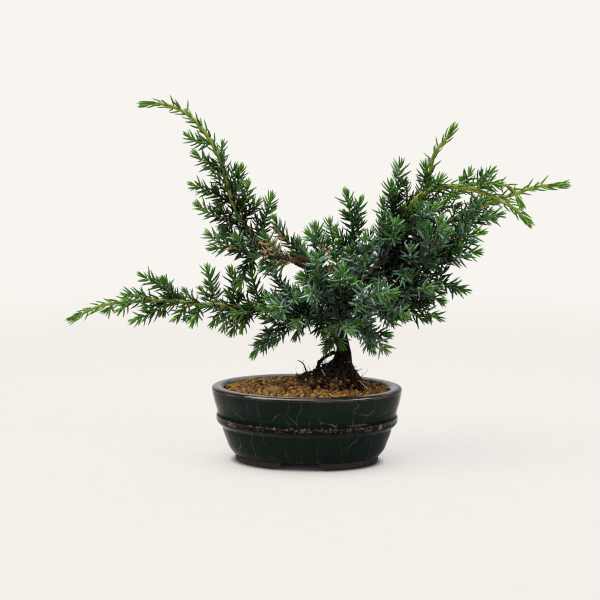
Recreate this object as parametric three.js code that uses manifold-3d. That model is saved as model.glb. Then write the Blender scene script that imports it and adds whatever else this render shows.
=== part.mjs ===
// A small needle juniper trained as a bonsai, in an oval glazed pot of granular soil.
// Millimetres, +Z up. The pot's long axis runs along X and it stands on Z = 0.
// The tree is laid out in its own frame, x to its right and y away from its front, and is turned in the pot.
import * as THREE from 'three';
import { mergeVertices } from 'three/addons/utils/BufferGeometryUtils.js';
import Module from 'manifold-3d';

const wasm = await Module();
wasm.setup();

// ---------------------------------------------------------------- driving dimensions

const RIM_LENGTH = 151; // outside of the rim, along X
const RIM_WIDTH = 114; // outside of the rim, along Y
const POT_STEPS = 34; // facets round the oval
const GAP = 0.3; // left between solids that touch
const TREE_TURN = THREE.MathUtils.degToRad(8); // the tree's front, turned from the pot's front
const TREE_RAISED = 1.2; // how far the tree stands above the heights that its routes give

// The pot's section, as [distance in from the rim's outer edge, height].
const POT_OUTSIDE = [
  [19.4, 0], [18.4, 4.8], [17.4, 5.8], [14.9, 8.8], [12.0, 14.4], [8.1, 25.8], // foot and belly
  [4.8, 30], [3.3, 33.2], [3.2, 36.2], [4.1, 39], // raised band
  [2.7, 45.4], [0.95, 52.4], [0, 56.4], [0.1, 58.2], [0.9, 59.6], [2.8, 60.2], // wall and rolled rim
];
const POT_INSIDE = [[7.4, 59.8], [9.3, 58.4], [10, 55.5], [14, 21], [17.5, 12], [21.5, 10]];
const FOOT_INNER = 27.2; // the foot ring's inner edge, in from the rim's outer edge
const UNDERSIDE = 5.2; // height of the pot's underside inside the foot ring
const FLOOR = 10; // height of the pot's floor
const ARCH = { top: 29, bottom: 37.6, height: 4.6 }; // the notch between the two feet, front and back
const DRAIN = { radius: 6, fromCentre: 26 };
const MESH = { side: 21, thick: 0.9, holes: 2, hole: 7.4 };

const SOIL = { level: 57.2, crown: 2.4, grain: 6.8, rough: 0.9, blockTop: 90 };
const MOUND = { at: [-4, 3], height: 7.6, spread: 15 }; // soil heaped against the roots, in the tree's frame
const CLOD = { at: [-25, -24, 58.2], size: [6.4, 5, 4] }; // one big lump, in the tree's frame

const NEEDLE = { length: 8.2, radius: 0.5, base: 1.4, spacing: 8, spread: 0.95 };
const TIP = { radius: 0.5, bud: 4.5, spread: 0.4 }; // a shoot's growing end

// ---------------------------------------------------------------- the wood: routes in the tree's frame

// Each piece of wood: its route and its radius at each point of the route.
const TRUNK = {
  route: [[30, 0, 24], [29, 0, 54], [29, 0, 66], [28, 0, 76], [29, 0, 88], [25, 2, 107], [19, 2, 127], [10, 0, 143],
    [1, -2, 155], [-6, -3, 160]],
  radii: [5, 14.5, 11, 8.2, 5.3, 5.2, 4.8, 4.4, 4.2, 3.4],
};
const BOUGHS = [
  { route: [[25, 2, 107], [9, -2, 116], [-4, -6, 119]], radii: [3.4, 2.5, 1.8] }, // low left
  { route: [[23, 2, 115], [39, 0, 135], [57, -4, 157], [70, -9, 184]], radii: [4.2, 3.6, 3, 2.4] }, // right
  { route: [[17, 2, 131], [26, 2, 147], [35, 2, 157]], radii: [3.2, 2.4, 1.8] }, // up
  { route: [[12, 0, 141], [4, -8, 151], [-9, -13, 158]], radii: [3.2, 2.4, 1.8] }, // upper left
  { route: [[26, 2, 99], [46, 4, 117], [69, 4, 126]], radii: [3.4, 2.5, 1.8] }, // low right
  { route: [[23, 2, 110], [27, -13, 119], [30, -25, 129]], radii: [3, 2.4, 1.8] }, // towards the front
  { route: [[23, 4, 112], [36, 28, 130], [57, 43, 146]], radii: [3.3, 2.6, 1.8] }, // towards the back
];
const ROOTS = [
  { route: [[29, 0, 78], [37, 0, 68], [43, 0, 59], [48, 1, 48]], radii: [4, 4.2, 3.6, 2.4] }, // right
  { route: [[22, -2, 86], [16, -3, 79], [11, -4, 73], [6, -5, 62]], radii: [2, 1.6, 1.5, 1.4] }, // thin arch, left
  { route: [[26, 0, 72], [12, -1, 67], [1, -2, 64], [-9, -3, 60], [-17, -5, 48]], radii: [9, 7, 6, 4, 2] },
  { route: [[26, -3, 68], [13, -12, 63], [2, -16, 58], [-6, -20, 48]], radii: [7, 5, 3.8, 2] },
  { route: [[28, -3, 72], [25, -14, 61], [21, -22, 48]], radii: [7, 5.4, 2.6] },
  { route: [[30, -3, 72], [39, -12, 61], [46, -19, 48]], radii: [6, 4.6, 2.4] },
  { route: [[26, 3, 70], [13, 11, 64], [3, 18, 57], [-5, 22, 48]], radii: [7, 5, 3.6, 2] },
  { route: [[30, 3, 72], [33, 14, 61], [36, 22, 48]], radii: [6, 4.8, 2.4] },
  { route: [[1, -2, 66], [-2, -2, 75], [-7, -3, 80]], radii: [1.5, 1, 0.6] }, // a dead root end that stands up
];

// ---------------------------------------------------------------- the leafy sprays

// Each spray: the stem's radius at its foot, its route, and the routes of its side shoots.
// The first point of each route is drawn onto the wood or the stem that it grows from.
const SPRAYS = {
  whip_upper_left: [1.7, [[-11, -3, 161], [-18, -2, 161], [-29, 0, 166], [-39, -2, 174], [-46, -4, 183],
    [-54, -5, 195], [-59, -5, 208], [-63, -4, 224], [-67, -2, 237], [-73, 0, 249], [-80, 2, 259], [-87, 4, 267],
    [-98, 6, 275], [-114, 7, 280], [-130, 8, 279]],
  [[-74, 0, 247], [-85, -3, 251], [-93, -6, 257]],
  [[-68, -3, 228], [-78, -6, 235], [-87, -10, 243]],
  [[-58, -5, 203], [-73, -2, 211], [-91, 4, 218]],
  [[-56, -4, 185], [-72, -10, 195], [-86, -14, 204]],
  [[-59, -5, 209], [-54, 2, 219], [-51, 8, 232]],
  [[-53, -5, 194], [-47, -9, 206], [-45, -9, 221]],
  [[-49, -4, 189], [-42, -1, 200], [-36, 3, 206]],
  [[-37, -1, 174], [-33, 4, 188], [-27, 10, 210]]],
  upright_left: [1, [[0, -1, 156], [-10, 6, 168], [-20, 3, 180], [-26, 0, 192]]],
  spray_mid_left: [1.4, [[-9, -13, 158], [-26, -16, 163], [-46, -18, 167], [-58, -22, 171], [-78, -26, 182]],
    [[-46, -18, 167], [-55, -15, 178], [-65, -12, 184]],
    [[-40, -17, 166], [-48, -15, 154], [-52, -13, 138]]],
  whip_lower_left: [1.7, [[-7, -6, 119], [-21, -8, 120], [-35, -10, 120], [-52, -8, 122], [-68, -6, 124],
    [-81, -5, 124], [-98, -3, 126], [-113, -2, 127], [-129, 0, 126], [-146, 2, 125], [-162, 3, 122],
    [-174, 4, 117], [-188, 5, 110]],
  [[-98, -3, 127], [-110, 2, 135], [-122, 6, 141], [-132, 10, 146]],
  [[-120, -1, 127], [-130, -6, 131], [-144, -10, 132]],
  [[-138, 1, 124], [-147, -10, 119]],
  [[-151, 2, 123], [-160, 8, 116]],
  [[-109, -2, 126], [-118, -5, 119], [-137, -10, 111]],
  [[-91, -4, 124], [-97, -9, 119], [-104, -14, 113]],
  [[-71, -6, 125], [-74, 0, 138], [-79, 6, 154]],
  [[-52, -8, 124], [-56, -5, 137], [-60, -2, 153]],
  [[-65, -6, 123], [-69, -10, 116], [-74, -12, 108]],
  [[-50, -8, 122], [-55, -2, 111], [-60, 4, 99]],
  [[-38, -10, 120], [-48, -22, 120], [-58, -32, 120]],
  [[-34, -10, 122], [-40, -2, 136], [-44, 6, 150]]],
  hanging_left: [1.1, [[5, -3, 117], [-8, 6, 113], [-24, 4, 104], [-35, -1, 94], [-43, -4, 83]]],
  hanging_mid: [1, [[0, -5, 117], [-6, -10, 110], [-9, -15, 98]]],
  hanging_right: [1, [[16, -3, 112], [13, -16, 111], [12, -30, 103]]],
  front_left: [1.1, [[2, -6, 117], [-12, -28, 125], [-26, -54, 128]]],
  front_mid: [1.1, [[18, -2, 127], [8, -34, 134], [0, -58, 141]]],
  upright_low_left: [1, [[0, -3, 119], [-16, 2, 132], [-25, 4, 148], [-30, 2, 156]]],
  upright_mid_left: [1.1, [[10, 0, 143], [11, -12, 166], [6, -16, 189]],
    [[12, -13, 168], [6, -19, 176], [0, -24, 183]]],
  front_upper_left: [1.1, [[12, -3, 138], [8, -26, 152], [7, -44, 166]]],
  upright_centre: [1.2, [[34, 2, 157], [37, 0, 178], [30, -4, 213]],
    [[36, 1, 167], [27, -4, 176], [21, -6, 184]],
    [[37, -1, 184], [40, 4, 196], [43, 7, 207]]],
  front_blue: [1.2, [[40, -3, 138], [44, -28, 162], [44, -46, 183]]],
  upright_right: [1.1, [[55, -2, 157], [61, 6, 182], [60, 5, 206]]],
  leader: [1.3, [[65, -7, 172], [69, -9, 204], [72, -12, 237]],
    [[69, -9, 198], [65, -14, 210], [64, -17, 221]]],
  upright_far_right: [1.4, [[66, -7, 177], [77, 3, 190], [92, 3, 208], [97, 2, 232], [100, 1, 243], [108, 0, 253],
    [115, -2, 264]],
  [[95, 2, 216], [92, -4, 226], [91, -8, 235]]],
  whip_right: [2.2, [[72, -10, 190], [77, -12, 200], [87, -14, 209], [98, -16, 215], [111, -18, 217],
    [122, -20, 216], [133, -22, 213], [145, -24, 208], [156, -26, 202], [164, -28, 195], [171, -30, 188]],
  [[95, -16, 213], [104, -22, 225]],
  [[128, -20, 215], [137, -26, 220], [148, -30, 219]]],
  whip_right_back: [1.5, [[71, -6, 180], [88, 6, 189], [105, 11, 201], [122, 12, 213], [137, 10, 218],
    [154, 5, 217], [161, 3, 213], [165, 1, 206], [168, -1, 199]],
  [[119, 11, 212], [126, 15, 220], [129, 18, 229]],
  [[133, 10, 217], [139, 6, 223], [146, 2, 230]]],
  whip_far_right: [1.5, [[62, -3, 164], [80, 12, 168], [105, 22, 182], [129, 24, 195], [153, 20, 205],
    [166, 16, 210], [176, 13, 214], [185, 11, 216], [195, 9, 216], [205, 6, 218]],
  [[129, 24, 195], [138, 32, 202], [150, 38, 206]]],
  spray_right_high: [1.2, [[57, -4, 157], [80, 0, 163], [97, 5, 168], [116, 7, 179], [133, 4, 190],
    [153, 0, 195]]],
  spray_right_mid: [1.2, [[57, -4, 155], [85, -8, 156], [104, -8, 166], [122, -10, 177], [137, -12, 182]]],
  spray_right: [1.2, [[50, -2, 148], [80, -16, 149], [99, -18, 158], [115, -18, 165], [134, -18, 167]]],
  front_right: [1.2, [[57, -6, 156], [78, -28, 158], [93, -41, 170], [101, -54, 196]]],
  spray_right_low: [1.2, [[69, 4, 126], [88, 4, 136], [107, 4, 140], [117, 2, 137], [127, 0, 134]]],
  spray_lower_right: [1.1, [[66, 3, 125], [80, -6, 131], [93, -10, 131], [107, -14, 127]]],
  hanging_far_right: [1.1, [[66, 5, 125], [80, 10, 121], [93, 9, 117], [107, 6, 111]]],
  hanging_back_right: [1, [[60, 5, 123], [72, 18, 116], [81, 28, 108]]],
  front_bright: [1.2, [[27, -16, 120], [41, -40, 130], [53, -54, 138], [67, -65, 141]]],
  low_front_right: [1.1, [[33, 2, 105], [50, -16, 103], [62, -31, 90]]],
  low_right: [1, [[36, 3, 107], [46, 10, 98], [54, 10, 84]]],
  low_front: [1, [[26, -11, 117], [25, -34, 114], [34, -56, 110]]],
  low_trunk: [0.9, [[24, -2, 100], [19, -13, 96], [14, -20, 88]]],
  front_centre: [1.1, [[29, -23, 128], [28, -38, 143], [26, -50, 158]]],
  back_upper_left: [1.1, [[10, 0, 143], [2, 20, 154], [-8, 34, 168]]],
  back_top: [1.1, [[26, 2, 147], [22, 22, 166], [18, 32, 188]]],
  back_mid_left: [1.1, [[30, 18, 123], [10, 36, 132], [-8, 46, 140]]],
  back_low_left: [1.1, [[-2, -5, 118], [-16, 18, 122], [-32, 32, 128]]],
  back_low: [1.1, [[25, 6, 106], [12, 30, 108], [0, 48, 104]]],
  back_hanging: [1, [[30, 14, 114], [36, 36, 106], [44, 54, 94]]],
  back_centre: [1.1, [[42, 33, 135], [34, 46, 152], [24, 56, 168]]],
  back_right: [1.1, [[57, 43, 146], [62, 56, 164], [60, 62, 184]]],
  back_far_right: [1.1, [[50, 38, 141], [74, 52, 148], [92, 62, 152]]],
  back_out: [1.1, [[47, 36, 139], [54, 60, 134], [64, 76, 130]]],
  back_low_right: [1.1, [[62, 4, 123], [84, 28, 128], [102, 40, 130]]],
  back_high_right: [1.1, [[60, -4, 162], [72, 18, 174], [86, 34, 186]]],
  front_high_right: [1.1, [[60, -4, 162], [64, -28, 176], [68, -44, 194]]],
  front_far_right: [1.1, [[67, -8, 178], [84, -28, 190], [98, -40, 204]]],
  front_low_right: [1.1, [[50, 4, 119], [62, -22, 122], [76, -46, 120]]],
  front_out_right: [1.1, [[64, 4, 124], [82, -26, 138], [94, -46, 142]]],
  front_low_left: [1, [[11, -1, 115], [0, -24, 119], [-10, -44, 112]]],
};

// ---------------------------------------------------------------- small helpers

const turnTree = ([x, y, z]) => new THREE.Vector3(x, y, z + TREE_RAISED)
  .applyAxisAngle(new THREE.Vector3(0, 0, 1), TREE_TURN);

// A repeatable draw from 0 to 1 (a linear congruential sequence).
function drawsFrom(seed) {
  let state = seed;
  return () => {
    state = (state * 1664525 + 1013904223) % 4294967296;
    return state / 4294967296;
  };
}

// A closed geometry as a solid that can be joined and cut. Faces that collapsed to a line are dropped.
function toSolid(geometry) {
  const bare = (geometry.index ? geometry.toNonIndexed() : geometry.clone());
  bare.deleteAttribute('normal');
  bare.deleteAttribute('uv');
  const merged = mergeVertices(bare, 1e-4);
  const corners = Array.from(merged.index.array);
  const triVerts = [];
  for (let i = 0; i < corners.length; i += 3) {
    const [a, b, c] = corners.slice(i, i + 3);
    if (a !== b && b !== c && c !== a) triVerts.push(a, b, c);
  }
  const vertProperties = new Float32Array(merged.attributes.position.array);
  return new wasm.Manifold(new wasm.Mesh({ numProp: 3, vertProperties, triVerts: new Uint32Array(triVerts) }));
}

// A solid as a named mesh.
function toMesh(name, solid, material) {
  const { vertProperties, triVerts } = solid.getMesh();
  const geometry = new THREE.BufferGeometry();
  geometry.setAttribute('position', new THREE.BufferAttribute(vertProperties, 3));
  geometry.setIndex(new THREE.BufferAttribute(triVerts, 1));
  geometry.computeVertexNormals();
  const mesh = new THREE.Mesh(geometry, material);
  mesh.name = name;
  return mesh;
}

const joined = (solids) => solids.reduce((all, one) => all.add(one));
const largest = (solid) => solid.decompose().reduce((a, b) => (b.volume() > a.volume() ? b : a));
const curveThrough = (points) => new THREE.CatmullRomCurve3(points, false, 'catmullrom', 0.5);

// A tapered tube along a curve: a cylinder whose rings are carried along it. radiusAt takes 0 at the foot to 1.
function taperedTube(curve, radiusAt, sides, steps) {
  const tube = new THREE.CylinderGeometry(1, 1, 1, sides, steps);
  const { normals, binormals } = curve.computeFrenetFrames(steps);
  const at = tube.attributes.position;
  for (let i = 0; i < at.count; i += 1) {
    const along = THREE.MathUtils.clamp(at.getY(i) + 0.5, 0, 1);
    const ring = Math.round(along * steps);
    const radius = radiusAt(along);
    const point = curve.getPointAt(along)
      .addScaledVector(normals[ring], -at.getX(i) * radius)
      .addScaledVector(binormals[ring], at.getZ(i) * radius);
    at.setXYZ(i, point.x, point.y, point.z);
  }
  return tube;
}

// ---------------------------------------------------------------- the pot

// A point of an oval that lies `inset` inside the rim's outer edge, measured square to that edge.
function ovalPoint(angle, inset) {
  const [a, b] = [RIM_LENGTH / 2, RIM_WIDTH / 2];
  const normal = new THREE.Vector2(b * Math.cos(angle), a * Math.sin(angle)).normalize();
  return new THREE.Vector2(a * Math.cos(angle), b * Math.sin(angle)).addScaledVector(normal, -inset);
}

// A section of [inset, height] points carried round the oval. Its ends are closed on the axis.
function ovalTurned(section) {
  const outer = RIM_LENGTH / 2;
  const closed = [[outer, section[0][1]], ...section, [outer, section[section.length - 1][1]]];
  const lathe = new THREE.LatheGeometry(closed.map(([inset, z]) => new THREE.Vector2(outer - inset, z)), POT_STEPS);
  const at = lathe.attributes.position;
  for (let i = 0; i < at.count; i += 1) {
    const radius = Math.hypot(at.getX(i), at.getZ(i));
    const angle = Math.atan2(-at.getZ(i), at.getX(i));
    const point = radius > 0.01 ? ovalPoint(angle, outer - radius) : new THREE.Vector2();
    at.setXYZ(i, point.x, point.y, at.getY(i));
  }
  return toSolid(lathe);
}

// The notch between the feet: a trapezium that runs right through the foot ring from front to back.
function footArch() {
  const { top, bottom, height } = ARCH;
  const outline = new THREE.Shape([[-bottom / 2, -1], [bottom / 2, -1], [top / 2, height], [-top / 2, height]]
    .map(([x, z]) => new THREE.Vector2(x, z)));
  const prism = new THREE.ExtrudeGeometry(outline, { depth: RIM_WIDTH, bevelEnabled: false });
  return toSolid(prism.rotateX(Math.PI / 2).translate(0, RIM_WIDTH / 2, 0));
}

function drainHole(side) {
  const hole = new THREE.CylinderGeometry(DRAIN.radius, DRAIN.radius, 2 * FLOOR, 20).rotateX(Math.PI / 2);
  return toSolid(hole.translate(side * DRAIN.fromCentre, 0, FLOOR));
}

function makePot() {
  const foot = [[FOOT_INNER + 1, UNDERSIDE], [FOOT_INNER, 0]];
  return ovalTurned([...foot, ...POT_OUTSIDE, ...POT_INSIDE])
    .subtract(footArch())
    .subtract(drainHole(-1))
    .subtract(drainHole(1));
}

// A square of plastic mesh over a drain hole.
function makeDrainMesh(side) {
  const plate = new THREE.BoxGeometry(MESH.side, MESH.side, MESH.thick);
  const pitch = MESH.side / MESH.holes;
  const holes = [];
  for (let i = 0; i < MESH.holes; i += 1) {
    for (let j = 0; j < MESH.holes; j += 1) {
      const hole = new THREE.BoxGeometry(MESH.hole, MESH.hole, 2 * MESH.thick);
      const [x, y] = [i, j].map((n) => (n + 0.5) * pitch - MESH.side / 2);
      holes.push(toSolid(hole.translate(x, y, 0)));
    }
  }
  return toSolid(plate).subtract(joined(holes)).translate([side * DRAIN.fromCentre, 0, FLOOR + GAP + MESH.thick / 2]);
}

// ---------------------------------------------------------------- the soil

// Height of the soil: almost level, a little crowned, and heaped against the roots.
function soilLevel(x, y) {
  const crown = SOIL.crown * (1 - (2 * x / RIM_LENGTH) ** 2 - (2 * y / RIM_WIDTH) ** 2);
  const heap = turnTree([...MOUND.at, 0]);
  const away = Math.hypot(x - heap.x, (y - heap.y) * 1.15) / MOUND.spread;
  return SOIL.level + crown + MOUND.height * Math.exp(-away * away);
}

// The granules: a block whose top is a grid of uneven grains, cut to the inside of the pot.
function makeSoil(wood) {
  const columns = Math.round(RIM_LENGTH / SOIL.grain);
  const rows = Math.round(RIM_WIDTH / SOIL.grain);
  const block = new THREE.BoxGeometry(RIM_LENGTH, RIM_WIDTH, 1, columns, rows, 1);
  const at = block.attributes.position;
  const draw = drawsFrom(7);
  const grains = new Map();
  for (let i = 0; i < at.count; i += 1) {
    const [x, y] = [at.getX(i), at.getY(i)];
    const key = `${x.toFixed(2)},${y.toFixed(2)}`;
    if (!grains.has(key)) grains.set(key, [draw() - 0.5, draw() - 0.5, (draw() - 0.5) * 2]);
    const [dx, dy, dz] = grains.get(key);
    const edge = Math.abs(x) > RIM_LENGTH / 2 - 1 || Math.abs(y) > RIM_WIDTH / 2 - 1;
    const shift = edge ? 0 : 0.5 * SOIL.grain;
    const top = at.getZ(i) > 0;
    at.setXYZ(i, x + dx * shift, y + dy * shift, top ? soilLevel(x, y) + dz * SOIL.rough : 0);
  }
  const inside = POT_INSIDE.filter(([, z]) => z < SOIL.level).map(([inset, z]) => [inset + GAP, z + GAP]);
  const plug = ovalTurned([...inside.reverse(), [inside[inside.length - 1][0], SOIL.blockTop]]);
  const seat = new THREE.BoxGeometry(MESH.side + 2 * GAP, MESH.side + 2 * GAP, 2 * (MESH.thick + 2 * GAP));
  const seats = [-1, 1].map((side) => toSolid(seat.clone().translate(side * DRAIN.fromCentre, 0, FLOOR)));
  const lump = new THREE.IcosahedronGeometry(1, 1).scale(...CLOD.size);
  const clod = toSolid(lump.translate(...turnTree(CLOD.at).toArray()));
  return largest(plug.intersect(toSolid(block)).add(clod).subtract(joined(seats)).subtract(wood));
}

// ---------------------------------------------------------------- the wood

// How thick a piece of wood is at each place along it, from 0 at its foot to 1.
function woodRadius({ radii }) {
  return (along) => {
    const place = along * (radii.length - 1);
    const i = Math.min(Math.floor(place), radii.length - 2);
    return THREE.MathUtils.lerp(radii[i], radii[i + 1], place - i);
  };
}

// One piece of wood, `extra` thicker than it is when it cuts its own room out of a neighbour.
function woodTube(wood, sides, extra) {
  const curve = curveThrough(wood.route.map(turnTree));
  const steps = Math.ceil(1.5 * (wood.route.length - 1));
  const radiusAt = woodRadius(wood);
  return toSolid(taperedTube(curve, (along) => radiusAt(along) + extra, sides, steps));
}

function makeWood(extra = 0) {
  return joined([
    woodTube(TRUNK, 9, extra),
    ...ROOTS.map((root) => woodTube(root, 6, extra)),
    ...BOUGHS.map((bough) => woodTube(bough, 6, extra)),
  ]);
}

// ---------------------------------------------------------------- the sprays

// Everything that a needle must stay clear of: straight pieces, each with the shoot and whorl it belongs to.
const taken = [];

function take(shoot, whorl, from, to, radius) {
  taken.push({ shoot, whorl, line: new THREE.Line3(from, to), middle: from.clone().lerp(to, 0.5), radius });
}

function takeAlong(shoot, curve, radiusAt) {
  const steps = Math.ceil(curve.getLength() / 5);
  for (let i = 0; i < steps; i += 1) {
    const [from, to] = [i / steps, (i + 1) / steps];
    take(shoot, null, curve.getPointAt(from), curve.getPointAt(to), radiusAt((from + to) / 2));
  }
}

// The least distance between two straight pieces, found by stepping along the first.
function apart(a, b) {
  let least = Infinity;
  for (let t = 0; t <= 1; t += 0.125) {
    const from = a.at(t, new THREE.Vector3());
    least = Math.min(least, b.closestPointToPoint(from, true, new THREE.Vector3()).distanceTo(from));
  }
  return least;
}

// Whether a needle on this line is clear of all but its own stem and the needles of its own whorl.
function isClear(shoot, whorl, line) {
  const middle = line.getCenter(new THREE.Vector3());
  return taken.every((other) => {
    if (other.shoot === shoot && (other.whorl === null || other.whorl === whorl)) return true;
    const room = NEEDLE.radius + other.radius + GAP + 0.1;
    if (other.middle.distanceTo(middle) > (line.distance() + other.line.distance()) / 2 + room) return true;
    return apart(line, other.line) > room;
  });
}

// The line of a needle that rises from `root`. One that would come too near something else is folded
// towards the tip or shortened, or left off.
function needleLine(shoot, whorl, root, forward, outward, spread, length) {
  const tries = [[spread, length], [spread * 0.6, length], [spread, length * 0.7], [spread * 0.4, length * 0.75]];
  const lines = tries.map(([lean, reach]) => {
    const way = forward.clone().multiplyScalar(Math.cos(lean)).addScaledVector(outward, Math.sin(lean));
    return new THREE.Line3(root, root.clone().addScaledVector(way, reach));
  });
  return lines.find((line) => isClear(shoot, whorl, line));
}

// Where the stem's rings lie, in mm from its foot. Each whorl rises between two close rings.
function shootRings(length) {
  const first = Math.min(6, length / 3);
  const last = length - 1.2;
  const whorls = Math.max(1, Math.round((last - first) / NEEDLE.spacing));
  const rings = [{ at: 0, whorl: false }];
  for (let k = 0; k <= whorls; k += 1) {
    const middle = THREE.MathUtils.lerp(first, last, k / whorls);
    rings.push({ at: middle - NEEDLE.base / 2, whorl: true }, { at: middle + NEEDLE.base / 2, whorl: false });
  }
  return [...rings, { at: length, whorl: false }];
}

// A leafy shoot: a slim three-sided stem that turns a sixth at each whorl, where every other face of the
// turn is raised into a needle, and that ends in a pointed bud.
function leafyShoot(shoot, draw) {
  const { curve, radiusAt } = shoot;
  const length = curve.getLength();
  const rings = shootRings(length);
  const fine = Math.ceil(length);
  const { tangents, normals, binormals } = curve.computeFrenetFrames(fine);
  const stem = new THREE.CylinderGeometry(1, 1, 1, 3, rings.length - 1);
  const at = stem.attributes.position;
  const ringOf = [];
  const points = [];
  for (let i = 0; i < at.count; i += 1) {
    const ring = Math.round((at.getY(i) + 0.5) * (rings.length - 1));
    const along = rings[ring].at / length;
    const step = Math.round(along * fine);
    const turn = (-Math.PI / 3) * rings.slice(0, ring).filter(({ whorl }) => whorl).length;
    const x = at.getX(i) * Math.cos(turn) + at.getZ(i) * Math.sin(turn);
    const z = at.getZ(i) * Math.cos(turn) - at.getX(i) * Math.sin(turn);
    const point = curve.getPointAt(along)
      .addScaledVector(normals[step], -x * radiusAt(along))
      .addScaledVector(binormals[step], z * radiusAt(along));
    const isBud = ring === rings.length - 1 && Math.hypot(x, z) < 0.01;
    if (isBud) point.addScaledVector(tangents[step], TIP.bud);
    ringOf.push(ring);
    points.push(point);
  }
  const faces = [];
  for (let i = 0; i < stem.index.count; i += 3) {
    const [a, b, c] = [0, 1, 2].map((k) => stem.index.getX(i + k));
    const low = Math.min(ringOf[a], ringOf[b], ringOf[c]);
    const onLow = [a, b, c].filter((corner) => ringOf[corner] === low).length;
    if (!rings[low].whorl || onLow !== 2) {
      faces.push([a, b, c]);
      continue;
    }
    const step = Math.round((rings[low].at / length) * fine);
    const root = points[a].clone().add(points[b]).add(points[c]).divideScalar(3);
    const outward = root.clone().sub(curve.getPointAt(rings[low].at / length)).projectOnPlane(tangents[step]);
    const spread = low < rings.length - 4 ? NEEDLE.spread : TIP.spread;
    const reach = NEEDLE.length * (0.9 + 0.25 * draw());
    const line = needleLine(shoot, low, root, tangents[step], outward.normalize(), spread, reach);
    if (!line) {
      faces.push([a, b, c]);
      continue;
    }
    take(shoot, low, line.start, line.end, NEEDLE.radius);
    const tip = points.push(line.end) - 1;
    faces.push([a, b, tip], [b, c, tip], [c, a, tip]);
  }
  const geometry = new THREE.BufferGeometry().setFromPoints(points);
  geometry.setIndex(faces.flat());
  return toSolid(geometry);
}

// The nearest point of some curves to a point.
function nearestOn(curves, point) {
  const candidates = curves.flatMap((curve) => curve.getSpacedPoints(40));
  return candidates.reduce((a, b) => (b.distanceTo(point) < a.distanceTo(point) ? b : a));
}

const shootRadius = (foot) => (along) => THREE.MathUtils.lerp(foot, TIP.radius, along);

// A spray's stem and side shoots, each starting in the middle of what it grows from.
function sprayShoots([foot, stemRoute, ...sideRoutes], woodCurves) {
  const grown = (route, parents) => {
    const points = route.map(turnTree);
    return curveThrough([nearestOn(parents, points[0]), ...points.slice(1)]);
  };
  const stem = grown(stemRoute, woodCurves);
  const sides = sideRoutes.map((route) => ({ curve: grown(route, [stem]), radiusAt: shootRadius(0.7 * foot) }));
  return [{ curve: stem, radiusAt: shootRadius(foot) }, ...sides];
}

function makeSpray(shoots, woodRoom, draw) {
  const leafy = shoots.map((shoot) => leafyShoot(shoot, draw));
  return largest(joined(leafy).subtract(woodRoom));
}

// ---------------------------------------------------------------- the whole

const materials = {
  glaze: new THREE.MeshStandardMaterial({ color: '#16211f', roughness: 0.18 }),
  soil: new THREE.MeshStandardMaterial({ color: '#7a5527', roughness: 0.95 }),
  bark: new THREE.MeshStandardMaterial({ color: '#2f211a', roughness: 0.9 }),
  mesh: new THREE.MeshStandardMaterial({ color: '#1c1c1c', roughness: 0.6 }),
  needles: new THREE.MeshStandardMaterial({ color: '#2f5a35', roughness: 0.55 }),
};

const bonsai = new THREE.Group();
const woodRoom = makeWood(GAP + 0.05);
bonsai.add(
  toMesh('pot', makePot(), materials.glaze),
  toMesh('drain_mesh_left', makeDrainMesh(-1), materials.mesh),
  toMesh('drain_mesh_right', makeDrainMesh(1), materials.mesh),
  toMesh('soil', makeSoil(woodRoom), materials.soil),
  toMesh('trunk_and_roots', makeWood(), materials.bark),
);

const woodCurves = [TRUNK, ...BOUGHS].map(({ route }) => curveThrough(route.map(turnTree)));
[TRUNK, ...BOUGHS].forEach((wood, i) => takeAlong(wood, woodCurves[i], woodRadius(wood)));
const sprays = Object.entries(SPRAYS).map(([name, spray]) => [name, sprayShoots(spray, woodCurves)]);
sprays.forEach(([, shoots]) => shoots.forEach((shoot) => takeAlong(shoot, shoot.curve, shoot.radiusAt)));
const draw = drawsFrom(11);
sprays.forEach(([name, shoots]) => {
  bonsai.add(toMesh(name, makeSpray(shoots, woodRoom, draw), materials.needles));
});

// The origin is under the middle of the whole, on the surface that the pot stands on.
const box = new THREE.Box3().setFromObject(bonsai);
const middle = box.getCenter(new THREE.Vector3());
bonsai.children.forEach((mesh) => mesh.geometry.translate(-middle.x, -middle.y, -box.min.z));

export default bonsai;
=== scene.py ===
"""A small needle juniper grown as a bonsai in an oval glazed pot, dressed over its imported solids.

Lengths are millimetres with the pot's middle on the table as the origin, and become metres in the part's
frame only when a mesh is made. The tree is laid out in its own frame, x to its right and y away from its
front, and stands turned in the pot.
"""

import logging
import math
from collections.abc import Callable
from dataclasses import dataclass, field
from enum import Enum
from functools import partial

import bpy
import numpy as np
from mathutils import Matrix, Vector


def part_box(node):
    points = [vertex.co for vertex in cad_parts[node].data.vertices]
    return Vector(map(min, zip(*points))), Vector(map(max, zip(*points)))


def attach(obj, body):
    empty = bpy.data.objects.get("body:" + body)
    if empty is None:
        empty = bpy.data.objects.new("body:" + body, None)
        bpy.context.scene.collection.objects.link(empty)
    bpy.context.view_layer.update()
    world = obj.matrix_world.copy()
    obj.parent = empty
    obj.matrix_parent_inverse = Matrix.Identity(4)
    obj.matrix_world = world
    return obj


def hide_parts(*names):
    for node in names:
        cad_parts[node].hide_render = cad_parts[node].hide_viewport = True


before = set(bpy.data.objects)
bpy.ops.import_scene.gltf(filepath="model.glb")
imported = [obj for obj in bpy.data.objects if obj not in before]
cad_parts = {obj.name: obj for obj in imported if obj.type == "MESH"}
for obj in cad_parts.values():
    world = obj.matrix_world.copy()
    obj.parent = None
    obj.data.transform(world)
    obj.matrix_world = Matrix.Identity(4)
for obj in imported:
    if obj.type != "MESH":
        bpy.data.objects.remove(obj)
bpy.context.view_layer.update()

Array = np.ndarray
Colour = tuple[float, float, float, float]
Place = tuple[float, float, float]
LOG = logging.getLogger("bonsai")

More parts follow.
